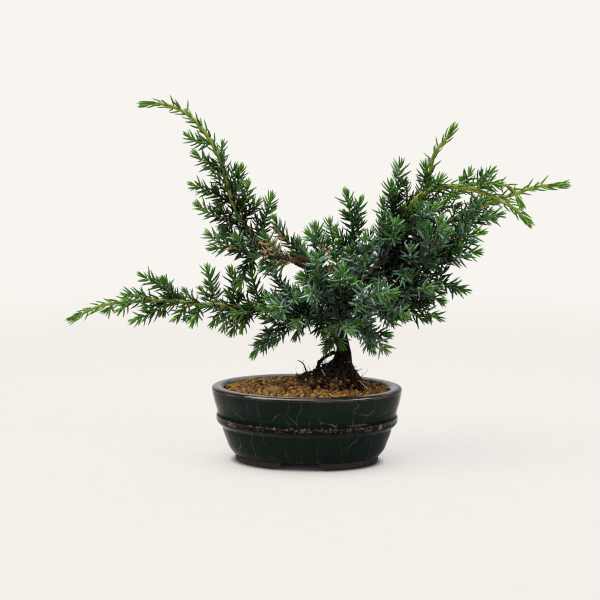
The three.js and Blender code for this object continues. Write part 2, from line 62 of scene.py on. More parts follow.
MM = 0.001
TREE_TURN = math.radians(8)
LIFT = 1.2  # how much higher the tree stands in the pot than its tables say
RIM = (75.5, 57.0)  # half length and half width of the pot over its rim
GOLDEN = math.radians(137.5)
POT_LOW, POT_HIGH = (np.array(corner, float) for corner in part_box("pot"))
POT_MIDDLE = np.array([*((POT_LOW + POT_HIGH) / 2)[:2], 0.0])


# ---------------------------------------------------------------- routes, in the tree's frame

# Each piece of wood: its route and its radius at each point of the route.
TRUNK = (
    [(30, 0, 24), (29, 0, 54), (29, 0, 66), (28, 0, 76), (29, 0, 88), (25, 2, 107), (19, 2, 127),
     (10, 0, 143), (1, -2, 155), (-6, -3, 160)],
    [5, 14.5, 11, 8.2, 5.3, 5.2, 4.8, 4.4, 4.2, 3.4],
)
BOUGHS = [
    ([(25, 2, 107), (9, -2, 116), (-4, -6, 119)], [3.4, 2.5, 1.8]),
    ([(23, 2, 115), (39, 0, 135), (57, -4, 157), (70, -9, 184)], [4.2, 3.6, 3, 2.4]),
    ([(17, 2, 131), (26, 2, 147), (35, 2, 157)], [3.2, 2.4, 1.8]),
    ([(12, 0, 141), (4, -8, 151), (-9, -13, 158)], [3.2, 2.4, 1.8]),
    ([(10, -1, 144), (1, -2, 153), (-7, -3, 157.5), (-13, -3, 159)], [3.6, 3.8, 3.2, 1.8]),
    ([(26, 2, 99), (46, 4, 117), (69, 4, 126)], [3.4, 2.5, 1.8]),
    ([(23, 2, 110), (27, -13, 119), (30, -25, 129)], [3, 2.4, 1.8]),
    ([(23, 4, 112), (36, 28, 130), (57, 43, 146)], [3.3, 2.6, 1.8]),
]
ROOTS = [
    ([(29, 0, 78), (35.6, 0, 68), (42, 0, 59), (47, 1, 48)], [3.6, 3.7, 3.4, 2.4]),
    ([(22, -2, 86), (16, -3, 83), (11, -4, 79), (9, -4, 74), (5, -5, 64)], [2, 1.5, 1.2, 1.2, 1.4]),
    ([(26, 0, 72), (12, -1, 66.5), (1, -2, 64), (-9, -3, 57), (-17, -5, 46)], [9, 6.6, 5.6, 3, 2]),
    ([(26, -3, 68), (13, -12, 63), (2, -16, 58), (-6, -20, 48)], [7, 5, 3.8, 2]),
    ([(28, -3, 72), (25, -14, 61), (21, -22, 48)], [7, 5.4, 2.6]),
    ([(30, -3, 72), (39, -12, 61), (46, -19, 48)], [6, 4.6, 2.4]),
    ([(26, 3, 70), (13, 11, 64), (3, 18, 57), (-5, 22, 48)], [7, 5, 3.6, 2]),
    ([(30, 3, 72), (33, 14, 61), (36, 22, 48)], [6, 4.8, 2.4]),
]
DEAD_TWIG = [
    ([(0, -2, 69), (-1.2, -2, 73.5), (-2.7, -2, 76.7), (-4.8, -2.5, 78.4), (-7.1, -3, 79.8)], 0.75),
    ([(-2.6, -2, 76.3), (-2.9, -2, 78), (-2.5, -2, 79.8)], 0.32),
]
STRAWS = [
    ([(41, -17, 66), (44, -20, 63), (48, -22, 60)], 0.45),
    ([(17, -38, 59.5), (21, -41, 57.6), (25, -43, 57)], 0.5),
    ([(11.5, -13, 74), (13, -14.5, 71.5), (14.2, -15.5, 69.5)], 0.32),
    ([(52, -6, 60), (56, -8, 62), (60, -9, 65)], 0.2),
]

# Each spray: its stem's radius at the foot, its route, and the routes of its side shoots.
SPRAYS = {
    "whip_upper_left": (1.7, [
        [(-11, -3, 161), (-18, -2, 161), (-29, 0, 166), (-39, -2, 174), (-46, -4, 183), (-54, -5, 195),
         (-59, -5, 208), (-63, -4, 224), (-67, -2, 237), (-73, 0, 249), (-80, 2, 259), (-87, 4, 267),
         (-98, 6, 275), (-114, 7, 280), (-130, 8, 279)],
        [(-74, 0, 247), (-85, -3, 251), (-93, -6, 257)],
        [(-68, -3, 228), (-78, -6, 235), (-87, -10, 243)],
        [(-58, -5, 203), (-73, -2, 211), (-91, 4, 218)],
        [(-56, -4, 185), (-72, -10, 195), (-86, -14, 204)],
        [(-59, -5, 209), (-54, 2, 219), (-51, 8, 232)],
        [(-53, -5, 194), (-47, -9, 206), (-45, -9, 221)],
        [(-49, -4, 189), (-42, -1, 200), (-36, 3, 206)],
        [(-37, -1, 174), (-33, 4, 188), (-27, 10, 210)]]),
    "upright_left": (1, [[(0, -1, 156), (-10, 6, 168), (-20, 3, 180), (-26, 0, 192)]]),
    "spray_mid_left": (1.4, [
        [(-9, -13, 158), (-26, -16, 163), (-46, -18, 167), (-58, -22, 171), (-78, -26, 182)],
        [(-46, -18, 167), (-55, -15, 178), (-65, -12, 184)],
        [(-40, -17, 166), (-48, -15, 154), (-52, -13, 138)]]),
    "whip_lower_left": (1.7, [
        [(-7, -6, 119), (-21, -8, 120), (-35, -10, 120), (-52, -8, 122), (-68, -6, 124), (-81, -5, 124),
         (-98, -3, 126), (-113, -2, 127), (-129, 0, 126), (-146, 2, 125), (-162, 3, 122), (-174, 4, 117),
         (-188, 5, 110)],
        [(-98, -3, 127), (-110, 2, 135), (-122, 6, 141), (-132, 10, 146)],
        [(-120, -1, 127), (-130, -6, 131), (-144, -10, 132)],
        [(-138, 1, 124), (-147, -10, 119)],
        [(-151, 2, 123), (-160, 8, 116)],
        [(-109, -2, 126), (-118, -5, 119), (-137, -10, 111)],
        [(-91, -4, 124), (-97, -9, 119), (-104, -14, 113)],
        [(-71, -6, 125), (-74, 0, 138), (-79, 6, 154)],
        [(-52, -8, 124), (-56, -5, 137), (-60, -2, 153)],
        [(-65, -6, 123), (-69, -10, 116), (-74, -12, 108)],
        [(-50, -8, 122), (-55, -2, 111), (-60, 4, 99)],
        [(-38, -10, 120), (-48, -22, 120), (-58, -32, 120)],
        [(-83, -5, 124), (-86, -14, 118), (-89, -20, 110)],
        [(-57, -7, 123), (-62, -16, 115), (-65, -22, 106)],
        [(-44, -9, 121), (-48, -18, 114), (-51, -22, 105)],
        [(-34, -10, 122), (-40, -2, 136), (-44, 6, 150)]]),
    "hanging_left": (1.1, [[(5, -3, 117), (-8, 6, 113), (-24, 4, 104), (-35, -1, 94), (-43, -4, 83)]]),
    "hanging_mid": (1, [[(0, -5, 117), (-6, -10, 110), (-9, -15, 98)]]),
    "hanging_right": (1, [[(16, -3, 112), (13, -16, 111), (12, -30, 103)]]),
    "front_left": (1.1, [[(2, -6, 117), (-12, -28, 125), (-26, -54, 128)]]),
    "front_mid": (1.1, [[(18, -2, 127), (8, -34, 134), (0, -58, 141)]]),
    "upright_low_left": (1, [[(0, -3, 119), (-16, 2, 132), (-25, 4, 148), (-30, 2, 156)]]),
    "upright_mid_left": (1.1, [
        [(10, 0, 143), (11, -12, 166), (6, -16, 189)], [(12, -13, 168), (6, -19, 176), (0, -24, 183)]]),
    "front_upper_left": (1.1, [[(12, -3, 138), (8, -26, 152), (7, -44, 166)]]),
    "upright_centre": (1.2, [
        [(34, 2, 157), (37, 0, 178), (30, -4, 213)],
        [(36, 1, 167), (27, -4, 176), (21, -6, 184)],
        [(37, -1, 184), (40, 4, 196), (43, 7, 207)]]),
    "front_blue": (1.2, [[(40, -3, 138), (44, -28, 162), (44, -46, 183)]]),
    "upright_right": (1.1, [[(55, -2, 157), (61, 6, 182), (60, 5, 206)]]),
    "leader": (1.3, [
        [(65, -7, 172), (69, -9, 204), (72, -12, 237)], [(69, -9, 198), (65, -14, 210), (64, -17, 221)]]),
    "upright_far_right": (1.4, [
        [(66, -7, 177), (77, 3, 190), (92, 3, 208), (97, 2, 232), (100, 1, 243), (108, 0, 253),
         (115, -2, 264)],
        [(95, 2, 216), (92, -4, 226), (91, -8, 235)]]),
    "whip_right": (2.2, [
        [(72, -10, 190), (77, -12, 200), (87, -14, 209), (98, -16, 215), (111, -18, 217), (122, -20, 216),
         (133, -22, 213), (145, -24, 208), (156, -26, 202), (164, -28, 195), (171, -30, 188)],
        [(95, -16, 213), (104, -22, 225)],
        [(128, -20, 215), (137, -26, 220), (148, -30, 219)]]),
    "whip_right_back": (1.5, [
        [(71, -6, 180), (88, 6, 189), (105, 11, 201), (122, 12, 213), (137, 10, 218), (154, 5, 217),
         (161, 3, 213), (165, 1, 206), (168, -1, 199)],
        [(119, 11, 212), (126, 15, 220), (129, 18, 229)],
        [(133, 10, 217), (139, 6, 223), (146, 2, 230)]]),
    "whip_far_right": (1.5, [
        [(62, -3, 164), (80, 12, 168), (105, 22, 182), (129, 24, 195), (153, 20, 205), (166, 16, 210),
         (176, 13, 214), (185, 11, 216), (195, 9, 216), (205, 6, 218)],
        [(129, 24, 195), (138, 32, 202), (150, 38, 206)]]),
    "spray_right_high": (1.2, [
        [(57, -4, 157), (80, 0, 163), (97, 5, 168), (116, 7, 179), (133, 4, 190), (153, 0, 195)]]),
    "spray_right_mid": (1.2, [
        [(57, -4, 155), (85, -8, 156), (104, -8, 166), (122, -10, 177), (137, -12, 182)]]),
    "spray_right": (1.2, [[(50, -2, 148), (80, -16, 149), (99, -18, 158), (115, -18, 165), (134, -18, 167)]]),
    "front_right": (1.2, [[(57, -6, 156), (78, -28, 158), (93, -41, 170), (101, -54, 196)]]),
    "spray_right_low": (1.2, [[(69, 4, 126), (88, 4, 136), (107, 4, 140), (117, 2, 137), (127, 0, 134)]]),
    "spray_lower_right": (1.1, [[(66, 3, 125), (80, -6, 131), (93, -10, 131), (107, -14, 127)]]),
    "hanging_far_right": (1.1, [[(66, 5, 125), (80, 10, 121), (93, 9, 117), (107, 6, 111)]]),
    "hanging_back_right": (1, [[(60, 5, 123), (72, 18, 116), (81, 28, 108)]]),
    "front_bright": (1.2, [[(27, -16, 120), (41, -40, 130), (53, -54, 138), (67, -65, 141)]]),
    "low_front_right": (1.1, [[(33, 2, 105), (50, -16, 103), (62, -31, 90)]]),
    "low_right": (1, [[(36, 3, 107), (46, 10, 98), (54, 10, 84)]]),
    "low_front": (1, [[(26, -11, 117), (25, -34, 114), (34, -56, 110)]]),
    "low_trunk": (0.9, [
        [(24, -2, 100), (19, -13, 96), (14, -20, 88)],
        [(20, -10, 97), (24, -15, 98), (29, -18, 92)], [(22, -6, 98), (18, -12, 104), (15, -16, 101)]]),
    "front_centre": (1.1, [[(29, -23, 128), (28, -38, 143), (26, -50, 158)]]),
    "back_upper_left": (1.1, [[(10, 0, 143), (2, 20, 154), (-8, 34, 168)]]),
    "back_top": (1.1, [[(26, 2, 147), (22, 22, 166), (18, 32, 188)]]),
    "back_mid_left": (1.1, [[(30, 18, 123), (10, 36, 132), (-8, 46, 140)]]),
    "back_low_left": (1.1, [[(-2, -5, 118), (-16, 18, 122), (-32, 32, 128)]]),
    "back_low": (1.1, [[(25, 6, 106), (12, 30, 108), (0, 48, 104)]]),
    "back_hanging": (1, [[(30, 14, 114), (36, 36, 106), (44, 54, 94)]]),
    "back_centre": (1.1, [[(42, 33, 135), (34, 46, 152), (24, 56, 168)]]),
    "back_right": (1.1, [[(57, 43, 146), (62, 56, 164), (60, 62, 184)]]),
    "back_far_right": (1.1, [[(50, 38, 141), (74, 52, 148), (92, 62, 152)]]),
    "back_out": (1.1, [[(47, 36, 139), (54, 60, 134), (64, 76, 130)]]),
    "back_low_right": (1.1, [[(62, 4, 123), (84, 28, 128), (102, 40, 130)]]),
    "back_high_right": (1.1, [[(60, -4, 162), (72, 18, 174), (86, 34, 186)]]),
    "front_high_right": (1.1, [[(60, -4, 162), (64, -28, 176), (68, -44, 194)]]),
    "front_far_right": (1.1, [[(67, -8, 178), (84, -28, 190), (98, -40, 204)]]),
    "front_low_right": (1.1, [[(50, 4, 119), (62, -22, 122), (76, -46, 120)]]),
    "front_out_right": (1.1, [[(64, 4, 124), (82, -26, 138), (94, -46, 142)]]),
    "front_low_left": (1, [[(11, -1, 115), (0, -24, 119), (-10, -44, 112)]]),
}


# ---------------------------------------------------------------- small mathematics


def linear(hex_colour: str) -> Colour:
    """Turns an sRGB hex colour such as "#7d5a2b" into the linear colour that a shader takes.

    Args:
        hex_colour: the colour, with or without its hash.

    Returns:
        Red, green, blue and an alpha of 1.
    """
    values = np.array([int(hex_colour.lstrip("#")[i:i + 2], 16) for i in (0, 2, 4)]) / 255
    curve = np.where(values <= 0.04045, values / 12.92, ((values + 0.055) / 1.055) ** 2.4)
    return (*(float(v) for v in curve), 1.0)


def unit(vectors: Array) -> Array:
    """Scales vectors to length 1."""
    return vectors / np.maximum(np.linalg.norm(vectors, axis=-1, keepdims=True), 1e-9)


def round_turn(places: int) -> Array:
    """Angles evenly round a circle."""
    return np.arange(places) * 2 * math.pi / places


def ball(rises: Array, places: int) -> Array:
    """Points of a unit ball: (cos a cos b, cos a sin b, sin a), with a for each ring and b evenly round it.

    Args:
        rises: a for each ring, in radians.
        places: points on a ring.

    Returns:
        The points as (rings, places, 3).
    """
    rise, turn = rises[:, None], round_turn(places)[None]
    return np.stack([np.cos(rise) * np.cos(turn), np.cos(rise) * np.sin(turn), np.sin(rise) + 0 * turn], -1)


def turn_tree(points: object) -> Array:
    """Takes points of the tree's frame into the pot's: a turn about Z by the tree's angle, and a lift."""
    x, y, z = np.moveaxis(np.asarray(points, float), -1, 0)
    c, s = math.cos(TREE_TURN), math.sin(TREE_TURN)
    return np.stack([x * c - y * s, x * s + y * c, z + LIFT], -1)


def smooth_step(values: Array, low: float, high: float) -> Array:
    """Rises from 0 at low to 1 at high along 3t^2 - 2t^3."""
    t = np.clip((values - low) / (high - low), 0, 1)
    return t * t * (3 - 2 * t)


def smooth_path(points: Array, spacing: float) -> Array:
    """Runs a Catmull-Rom curve through points and spaces it evenly.

    Between two points p1 and p2 it is the cubic whose slopes at them are (p2 - p0) / 2 and (p3 - p1) / 2. The
    ends are carried on in a straight line to give them a neighbour.

    Args:
        points: the points it passes through.
        spacing: the distance between the points that come back.

    Returns:
        Points along the curve, an equal distance apart.
    """
    ends = np.vstack([2 * points[0] - points[1], points, 2 * points[-1] - points[-2]])
    p0, p1, p2, p3 = (ends[i:len(ends) - 3 + i, None, :] for i in range(4))
    t = np.linspace(0, 1, 20, endpoint=False)[None, :, None]
    a, b = (p2 - p0) / 2, (p3 - p1) / 2
    cubic = p1 + a * t + (3 * (p2 - p1) - 2 * a - b) * t**2 + (2 * (p1 - p2) + a + b) * t**3
    dense = np.vstack([cubic.reshape(-1, 3), points[-1:]])
    run = np.concatenate([[0], np.cumsum(np.linalg.norm(np.diff(dense, axis=0), axis=1))])
    places = np.linspace(0, run[-1], max(3, round(run[-1] / spacing) + 1))
    return np.stack([np.interp(places, run, dense[:, i]) for i in range(3)], -1)


def frames_along(path: Array) -> tuple[Array, Array, Array]:
    """Finds the directions along, beside and above a path at each of its points.

    Beside is square to the path and to the world axis that the path leans on least.

    Args:
        path: evenly spaced points.

    Returns:
        Unit vectors along, beside and above it.
    """
    along = unit(np.gradient(path, axis=0))
    axis = np.eye(3)[np.argmin(np.abs(path[-1] - path[0]))]
    beside = unit(np.cross(along, axis))
    return along, beside, np.cross(along, beside)


def value_noise(points: Array, cell: float, seed: int) -> Array:
    """Smooth noise from -1 to 1: each corner of a cubic lattice has a hashed value, blended smoothly.

    Args:
        points: where it is read.
        cell: the lattice's spacing, in the points' unit.
        seed: which noise it is.

    Returns:
        One value per point.
    """
    scaled = points / cell + 1000.0
    base = np.floor(scaled).astype(np.int64)
    part = scaled - base
    part = part * part * (3 - 2 * part)
    total = np.zeros(points.shape[:-1])
    for corner in np.ndindex(2, 2, 2):
        i, j, k = np.moveaxis(base + np.array(corner), -1, 0)
        mixed = (i * 73856093) ^ (j * 19349663) ^ (k * 83492791) ^ (seed * 2654435761)
        mixed = ((mixed ^ (mixed >> 13)) * 1274126177) & 0x7FFFFFFF
        weight = np.prod(np.where(corner, part, 1 - part), axis=-1)
        total = total + weight * (((mixed ^ (mixed >> 16)) & 0xFFFF) / 32767.5 - 1)
    return total


# ---------------------------------------------------------------- surfaces


@dataclass
class Surface:
    """Points in millimetres, with faces, texture places, material numbers and named numbers per point."""

    points: Array
    corners: Array
    sizes: Array
    uv: Array
    finish: Array
    marks: dict[str, Array] = field(default_factory=dict)

    @staticmethod
    def joined(surfaces: list["Surface"]) -> "Surface":
        """Puts several surfaces into one, with each one's point numbers moved past those before it."""
        starts = np.cumsum([0] + [len(s.points) for s in surfaces[:-1]])
        return Surface(
            np.concatenate([s.points for s in surfaces]),
            np.concatenate([s.corners + start for s, start in zip(surfaces, starts)]),
            np.concatenate([s.sizes for s in surfaces]),
            np.concatenate([s.uv for s in surfaces]),
            np.concatenate([s.finish for s in surfaces]),
            {name: np.concatenate([s.marks[name] for s in surfaces]) for name in surfaces[0].marks},
        )


def ring_stack(rings: Array, first: Array | Place, last: Array | Place, finish: int = 0,
               marks: dict[str, Array] | None = None) -> Surface:
    """Skins a stack of rings, with a fan to a point at each end: the grid is (ring, place round it).

    Seen from the last ring, places run anticlockwise, which turns the faces outwards.

    Args:
        rings: points as (rings, places, 3).
        first: the point that closes the first ring.
        last: the point that closes the last ring.
        finish: the faces' material number.
        marks: by name, a number for each ring.

    Returns:
        The closed surface.
    """
    count, places = rings.shape[:2]
    number = np.arange(count * places).reshape(count, places)
    following = np.roll(number, -1, axis=1)
    quads = np.stack([number[:-1], following[:-1], following[1:], number[1:]], -1).reshape(-1, 4)
    low = np.stack([following[0], number[0], np.full(places, count * places)], -1)
    high = np.stack([number[-1], following[-1], np.full(places, count * places + 1)], -1)
    points = np.vstack([rings.reshape(-1, 3), first, last])
    corners = np.concatenate([quads.ravel(), low.ravel(), high.ravel()])
    here, there = np.arange(places) / places, (np.arange(places) + 1) / places
    round_quads = np.tile(np.stack([here, there, there, here], -1).ravel(), count - 1)
    middle = (here + there) / 2
    fans = [np.stack([there, here, middle], -1).ravel(), np.stack([here, there, middle], -1).ravel()]
    up = np.append(np.repeat(np.arange(count) / max(count - 1, 1), places), [0, 1])
    sizes = np.concatenate([np.full(len(quads), 4), np.full(2 * places, 3)])
    spread = {k: np.concatenate([np.repeat(v, places), v[:1], v[-1:]]) for k, v in (marks or {}).items()}
    uv = np.stack([np.concatenate([round_quads, *fans]), up[corners]], -1)
    return Surface(points, corners, sizes, uv, np.full(len(sizes), finish), spread)


def tube(path: Array, radii: Array, sides: int, finish: int = 0, marks: dict[str, Array] | None = None,
         shape: Array | float = 1.0) -> Surface:
    """Carries a circle along a path: centre + r (cos a beside + sin a above), with r read at each point.

    Args:
        path: the middle line.
        radii: the radius at each of its points.
        sides: points round it.
        finish: the faces' material number.
        marks: by name, a number for each point of the path.
        shape: scales the radius at each (point, side), for a section that isn't round.

    Returns:
        The closed tube, with blunt ends.
    """
    along, beside, above = frames_along(path)
    angle = round_turn(sides)
    circle = np.cos(angle)[:, None] * beside[:, None] + np.sin(angle)[:, None] * above[:, None]
    reach = radii[:, None] * shape
    rings = path[:, None] + circle * np.broadcast_to(reach, (len(path), sides))[..., None]
    start, end = path[0] - along[0] * radii[0] * 0.3, path[-1] + along[-1] * radii[-1]
    return ring_stack(rings, start, end, finish, marks)


def repeated(points: Array, shape: Surface, marks: dict[str, Array]) -> Surface:
    """Puts many small things of one build into one surface.

    Args:
        points: every thing's points as (things, points, 3).
        shape: one of them, for its faces, texture places and material number.
        marks: by name, a number for each thing.

    Returns:
        The surface.
    """
    count, each = points.shape[:2]
    corners = (shape.corners[None] + np.arange(count)[:, None] * each).ravel()
    spread = {name: np.repeat(values, each) for name, values in marks.items()}
    return Surface(points.reshape(-1, 3), corners, np.tile(shape.sizes, count), np.tile(shape.uv, (count, 1)),
                   np.tile(shape.finish, count), spread)


def random_turns(draw: np.random.Generator, count: int) -> Array:
    """Random rotations, each from a random unit quaternion.

    Args:
        draw: where they are drawn from.
        count: how many.

    Returns:
        Matrices as (count, 3, 3).
    """
    w, x, y, z = unit(draw.normal(size=(count, 4))).T
    rows = [
        [1 - 2 * (y * y + z * z), 2 * (x * y - z * w), 2 * (x * z + y * w)],
        [2 * (x * y + z * w), 1 - 2 * (x * x + z * z), 2 * (y * z - x * w)],
        [2 * (x * z - y * w), 2 * (y * z + x * w), 1 - 2 * (x * x + y * y)],
    ]
    return np.moveaxis(np.array(rows), -1, 0)


@dataclass(frozen=True)
class Pebble:
    """An uneven ball of rings of six points, for grains, crumbs and grit."""

    rises: tuple[float, ...] = (-58, -20, 20, 58)  # its rings, in degrees
    rough: tuple[float, float] = (0.7, 1.2)  # between what each point's radius is drawn
    squash: tuple[float, float] | None = None  # between what its three thicknesses are drawn
    turned: bool = False

    def scatter(self, draw: np.random.Generator, size: Array) -> tuple[Surface, Array]:
        """Makes many, round their own middles: each point's radius is drawn, then the squash, then the turn.

        Args:
            draw: where they are drawn from.
            size: the radius of each.

        Returns:
            The even ball, and every uneven one's points as (balls, points, 3).
        """
        even = ring_stack(ball(np.radians(self.rises), 6), (0, 0, -1.0), (0, 0, 1.0))
        count = len(size)
        lumps = even.points[None] * draw.uniform(*self.rough, (count, len(even.points), 1))
        if self.squash:
            lumps = lumps * draw.uniform(*self.squash, (count, 1, 3))
        if self.turned:
            lumps = np.einsum("nij,nkj->nki", random_turns(draw, count), lumps)
        return even, lumps * size[:, None, None]


def as_mesh(name: str, surface: Surface) -> bpy.types.Mesh:
    """Fills a mesh from a surface, in metres in the part's frame.

    Args:
        name: the mesh's name.
        surface: what it holds.

    Returns:
        The mesh, smooth shaded, with its UV map and point attributes.
    """
    mesh = bpy.data.meshes.new(name)
    mesh.vertices.add(len(surface.points))
    mesh.vertices.foreach_set("co", (surface.points * MM + POT_MIDDLE).astype(np.float32).ravel())
    mesh.loops.add(len(surface.corners))
    mesh.loops.foreach_set("vertex_index", surface.corners.astype(np.int32))
    mesh.polygons.add(len(surface.sizes))
    starts = np.concatenate([[0], np.cumsum(surface.sizes)[:-1]]).astype(np.int32)
    mesh.polygons.foreach_set("loop_start", starts)
    mesh.polygons.foreach_set("material_index", surface.finish.astype(np.int32))
    mesh.update(calc_edges=True)
    mesh.polygons.foreach_set("use_smooth", np.ones(len(surface.sizes), bool))
    mesh.uv_layers.new(name="UVMap").data.foreach_set("uv", surface.uv.astype(np.float32).ravel())
    for key, values in surface.marks.items():
        mesh.attributes.new(key, "FLOAT", "POINT").data.foreach_set("value", values.astype(np.float32))
    return mesh


def read_mesh(mesh: bpy.types.Mesh) -> tuple[Array, Array]:
    """Reads a mesh's points, in metres, and its normals."""
    points, normals = (np.empty((len(mesh.vertices), 3), np.float32) for _ in range(2))
    mesh.vertices.foreach_get("co", points.ravel())
    mesh.vertices.foreach_get("normal", normals.ravel())
    return points.astype(float), normals.astype(float)


def add_object(name: str, data: bpy.types.ID) -> bpy.types.Object:
    """Adds a new object with its data to the scene."""
    made = bpy.data.objects.new(name, data)
    bpy.context.scene.collection.objects.link(made)
    return made


def finished_mesh(made: bpy.types.Object) -> bpy.types.Mesh:
    """A new mesh of what an object is with its modifiers."""
    return bpy.data.meshes.new_from_object(made.evaluated_get(bpy.context.evaluated_depsgraph_get()))


def place_piece(name: str, form: Surface | bpy.types.Mesh, finishes: list[bpy.types.Material], slot: str,
                *stands_for: str) -> bpy.types.Object:
    """Adds a finished form to the scene as a piece of the object.

    Args:
        name: the piece's name.
        form: its surface, or its mesh, already in the part's frame.
        finishes: its materials, by number.
        slot: not used.
        *stands_for: the solids that it replaces.

    Returns:
        The object.
    """
    mesh = as_mesh(name, form) if isinstance(form, Surface) else form
    piece = add_object(name, mesh)
    for finish in finishes:
        mesh.materials.append(finish)
    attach(piece, "root")
    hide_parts(*stands_for)
    LOG.info("%s: %d faces for %s", name, len(mesh.polygons), ", ".join(stands_for))
    return piece


# ---------------------------------------------------------------- finishes

Stops = list[tuple[float, Colour]]
Adder = Callable[..., bpy.types.NodeSocket]

# A colour mix's inputs are known by number, because their names repeat.
MIX_A, MIX_B = 6, 7
COLOURS = {"out": 2, "data_type": "RGBA"}


def greys(*pairs: tuple[float, float]) -> Stops:
    """The stops of a ramp between greys, from pairs of a place and a grey."""
    return [(place, (grey, grey, grey, 1.0)) for place, grey in pairs]


def tones(*pairs: tuple[float, str]) -> Stops:
    """The stops of a ramp between colours, from pairs of a place and an sRGB hex colour."""
    return [(place, linear(colour)) for place, colour in pairs]


def add_node(tree: bpy.types.NodeTree, kind: str, sockets: dict[str | int, object] | None = None,
             stops: Stops | None = None, out: str | int = 0,
             **settings: object) -> bpy.types.NodeSocket | None:
    """Adds a shader node with its settings and links.

    Args:
        tree: the material's node tree.
        kind: the node's type, without its "ShaderNode" prefix.
        sockets: by input name or number, a value or the output that feeds it.
        stops: for a colour ramp, its places and colours.
        out: the output that comes back, by name or number.
        **settings: the node's own properties.

    Returns:
        That output, or None where the node ends the tree.
    """
    node = tree.nodes.new("ShaderNode" + kind)
    for name, value in settings.items():
        setattr(node, name, value)
    for key, value in (sockets or {}).items():
        if isinstance(value, bpy.types.NodeSocket):
            tree.links.new(value, node.inputs[key])
        else:
            node.inputs[key].default_value = value
    if stops:
        ramp = node.color_ramp.elements
        while len(ramp) < len(stops):
            ramp.new(0.5)
        for element, (place, colour) in zip(ramp, stops):
            element.position = place
            element.color = colour
    return node.outputs[out] if node.outputs else None


def start_finish(name: str, **constants: float) -> tuple[bpy.types.Material, Adder]:
    """Starts a material and sets what is the same all over its surface on the shader itself.

    Args:
        name: the material's name.
        **constants: shader inputs, with _ for a space and each word starting with a capital.

    Returns:
        The material, and the function that adds a node to it.
    """
    material = bpy.data.materials.new(name)
    material.use_nodes = True
    shader = material.node_tree.nodes["Principled BSDF"]
    for key, value in constants.items():
        shader.inputs[key.replace("_", " ")].default_value = value
    return material, partial(add_node, material.node_tree)


def feed_shader(material: bpy.types.Material, **outputs: bpy.types.NodeSocket) -> bpy.types.Material:
    """Links what varies over a surface to its material's shader.

    Args:
        material: the material.
        **outputs: by shader input, spelt as for start_finish, the output that feeds it.

    Returns:
        The material.
    """
    tree = material.node_tree
    for key, output in outputs.items():
        tree.links.new(output, tree.nodes["Principled BSDF"].inputs[key.replace("_", " ")])
    return material


@dataclass(frozen=True)
class JuniperLeaf:
    """Awl-shaped juniper leaf: waxy green, with two blue-white bands of bloom on its upper face."""

    young: str = "#5f9427"
    grown: str = "#386f1e"
    old: str = "#255025"
    bloom: str = "#b6d6d8"
    point: str = "#7d8a4a"
    dry: str = "#c2a277"
    dead_from: float = 0.9965  # tint over which a leaf is dead and dry

    def material(self) -> bpy.types.Material:
        """Builds the material from each leaf's age, tint, bloom and shade, and its UV across and along it."""
        made, add = start_finish("juniper_leaf", Roughness=0.45, Specular_IOR_Level=0.22)
        age, tint, waxy, deep = (add("Attribute", out="Fac", attribute_name=name)
                                 for name in ("age", "tint", "bloom", "shade"))
        place = add("UVMap", uv_map="UVMap")
        across, along = (add("SeparateXYZ", {0: place}, out=axis) for axis in "XY")
        green = add("ValToRGB", {0: age}, tones((0.0, self.young), (0.4, self.grown), (1.0, self.old)))
        # Two bands, either side of the midrib, over the upper face only (u under a half).
        bands = add("ValToRGB", {0: across}, greys(
            (0.0, 0.12), (0.08, 1.0), (0.2, 1.0), (0.25, 0.35), (0.3, 1.0), (0.42, 1.0), (0.49, 0.1),
            (0.52, 0.06)))
        # Bloom fades on leaves deep in the crown, which is painted shade too.
        clean = add("MapRange", {"Value": deep, "To Min": 1.0, "To Max": 0.6})
        coat = add("Math", {0: waxy, 1: clean}, operation="MULTIPLY")
        cover = add("Math", {0: bands, 1: coat}, operation="MULTIPLY")
        mottle = add("TexNoise", {"Scale": 900.0, "Detail": 2.0})
        rubbed = add("MapRange", {
            "Value": mottle, "From Min": 0.3, "From Max": 0.7, "To Min": 0.7, "To Max": 1.1})
        worn = add("Math", {0: cover, 1: rubbed}, operation="MULTIPLY")
        waxed = add("Mix", {0: worn, MIX_A: green, MIX_B: linear(self.bloom)}, **COLOURS)
        # Leaves deep in the crown are darkened as painted shade, and vary less than those in the light.
        varied = add("MapRange", {"Value": tint, "To Min": 0.5, "To Max": 1.4})
        painted_shade = add("MapRange", {"Value": deep, "To Min": 1.0, "To Max": 0.1})
        value = add("Math", {0: varied, 1: painted_shade}, operation="MULTIPLY")
        shaded = add("HueSaturation", {"Value": value, "Color": waxed})
        tip = add("ValToRGB", {0: along}, greys((0.9, 0.0), (1.0, 1.0)))
        pointed = add("Mix", {0: tip, MIX_A: shaded, MIX_B: linear(self.point)}, **COLOURS)
        dead = add("ValToRGB", {0: tint}, greys((self.dead_from, 0.0), (0.998, 1.0)))
        coloured = add("Mix", {0: dead, MIX_A: pointed, MIX_B: linear(self.dry)}, **COLOURS)
        return feed_shader(made, Base_Color=coloured)


@dataclass(frozen=True)
class GreenShoot:
    """This year's juniper stem: soft yellow-green bark that turns brown and papery towards the older wood."""

    green: str = "#87922c"
    brown: str = "#5f4a2b"
    old: str = "#33251b"

    def material(self) -> bpy.types.Material:
        """Builds the material. "age" is a number along the stem."""
        made, add = start_finish("green_shoot", Roughness=0.55)
        age = add("Attribute", out="Fac", attribute_name="age")
        patches = add("TexNoise", {"Scale": 420.0, "Detail": 4.0})
        early = add("MapRange", {"Value": patches, "To Min": -0.16, "To Max": 0.16})
        uneven = add("Math", {0: early, 1: age}, operation="ADD", use_clamp=True)
        bark = add("ValToRGB", {0: uneven}, tones(
            (0.0, self.green), (0.4, self.green), (0.68, self.brown), (1.0, self.old)))
        bump = add("Bump", {"Strength": 0.15, "Distance": 0.0003, "Height": patches})
        return feed_shader(made, Base_Color=bark, Normal=bump)


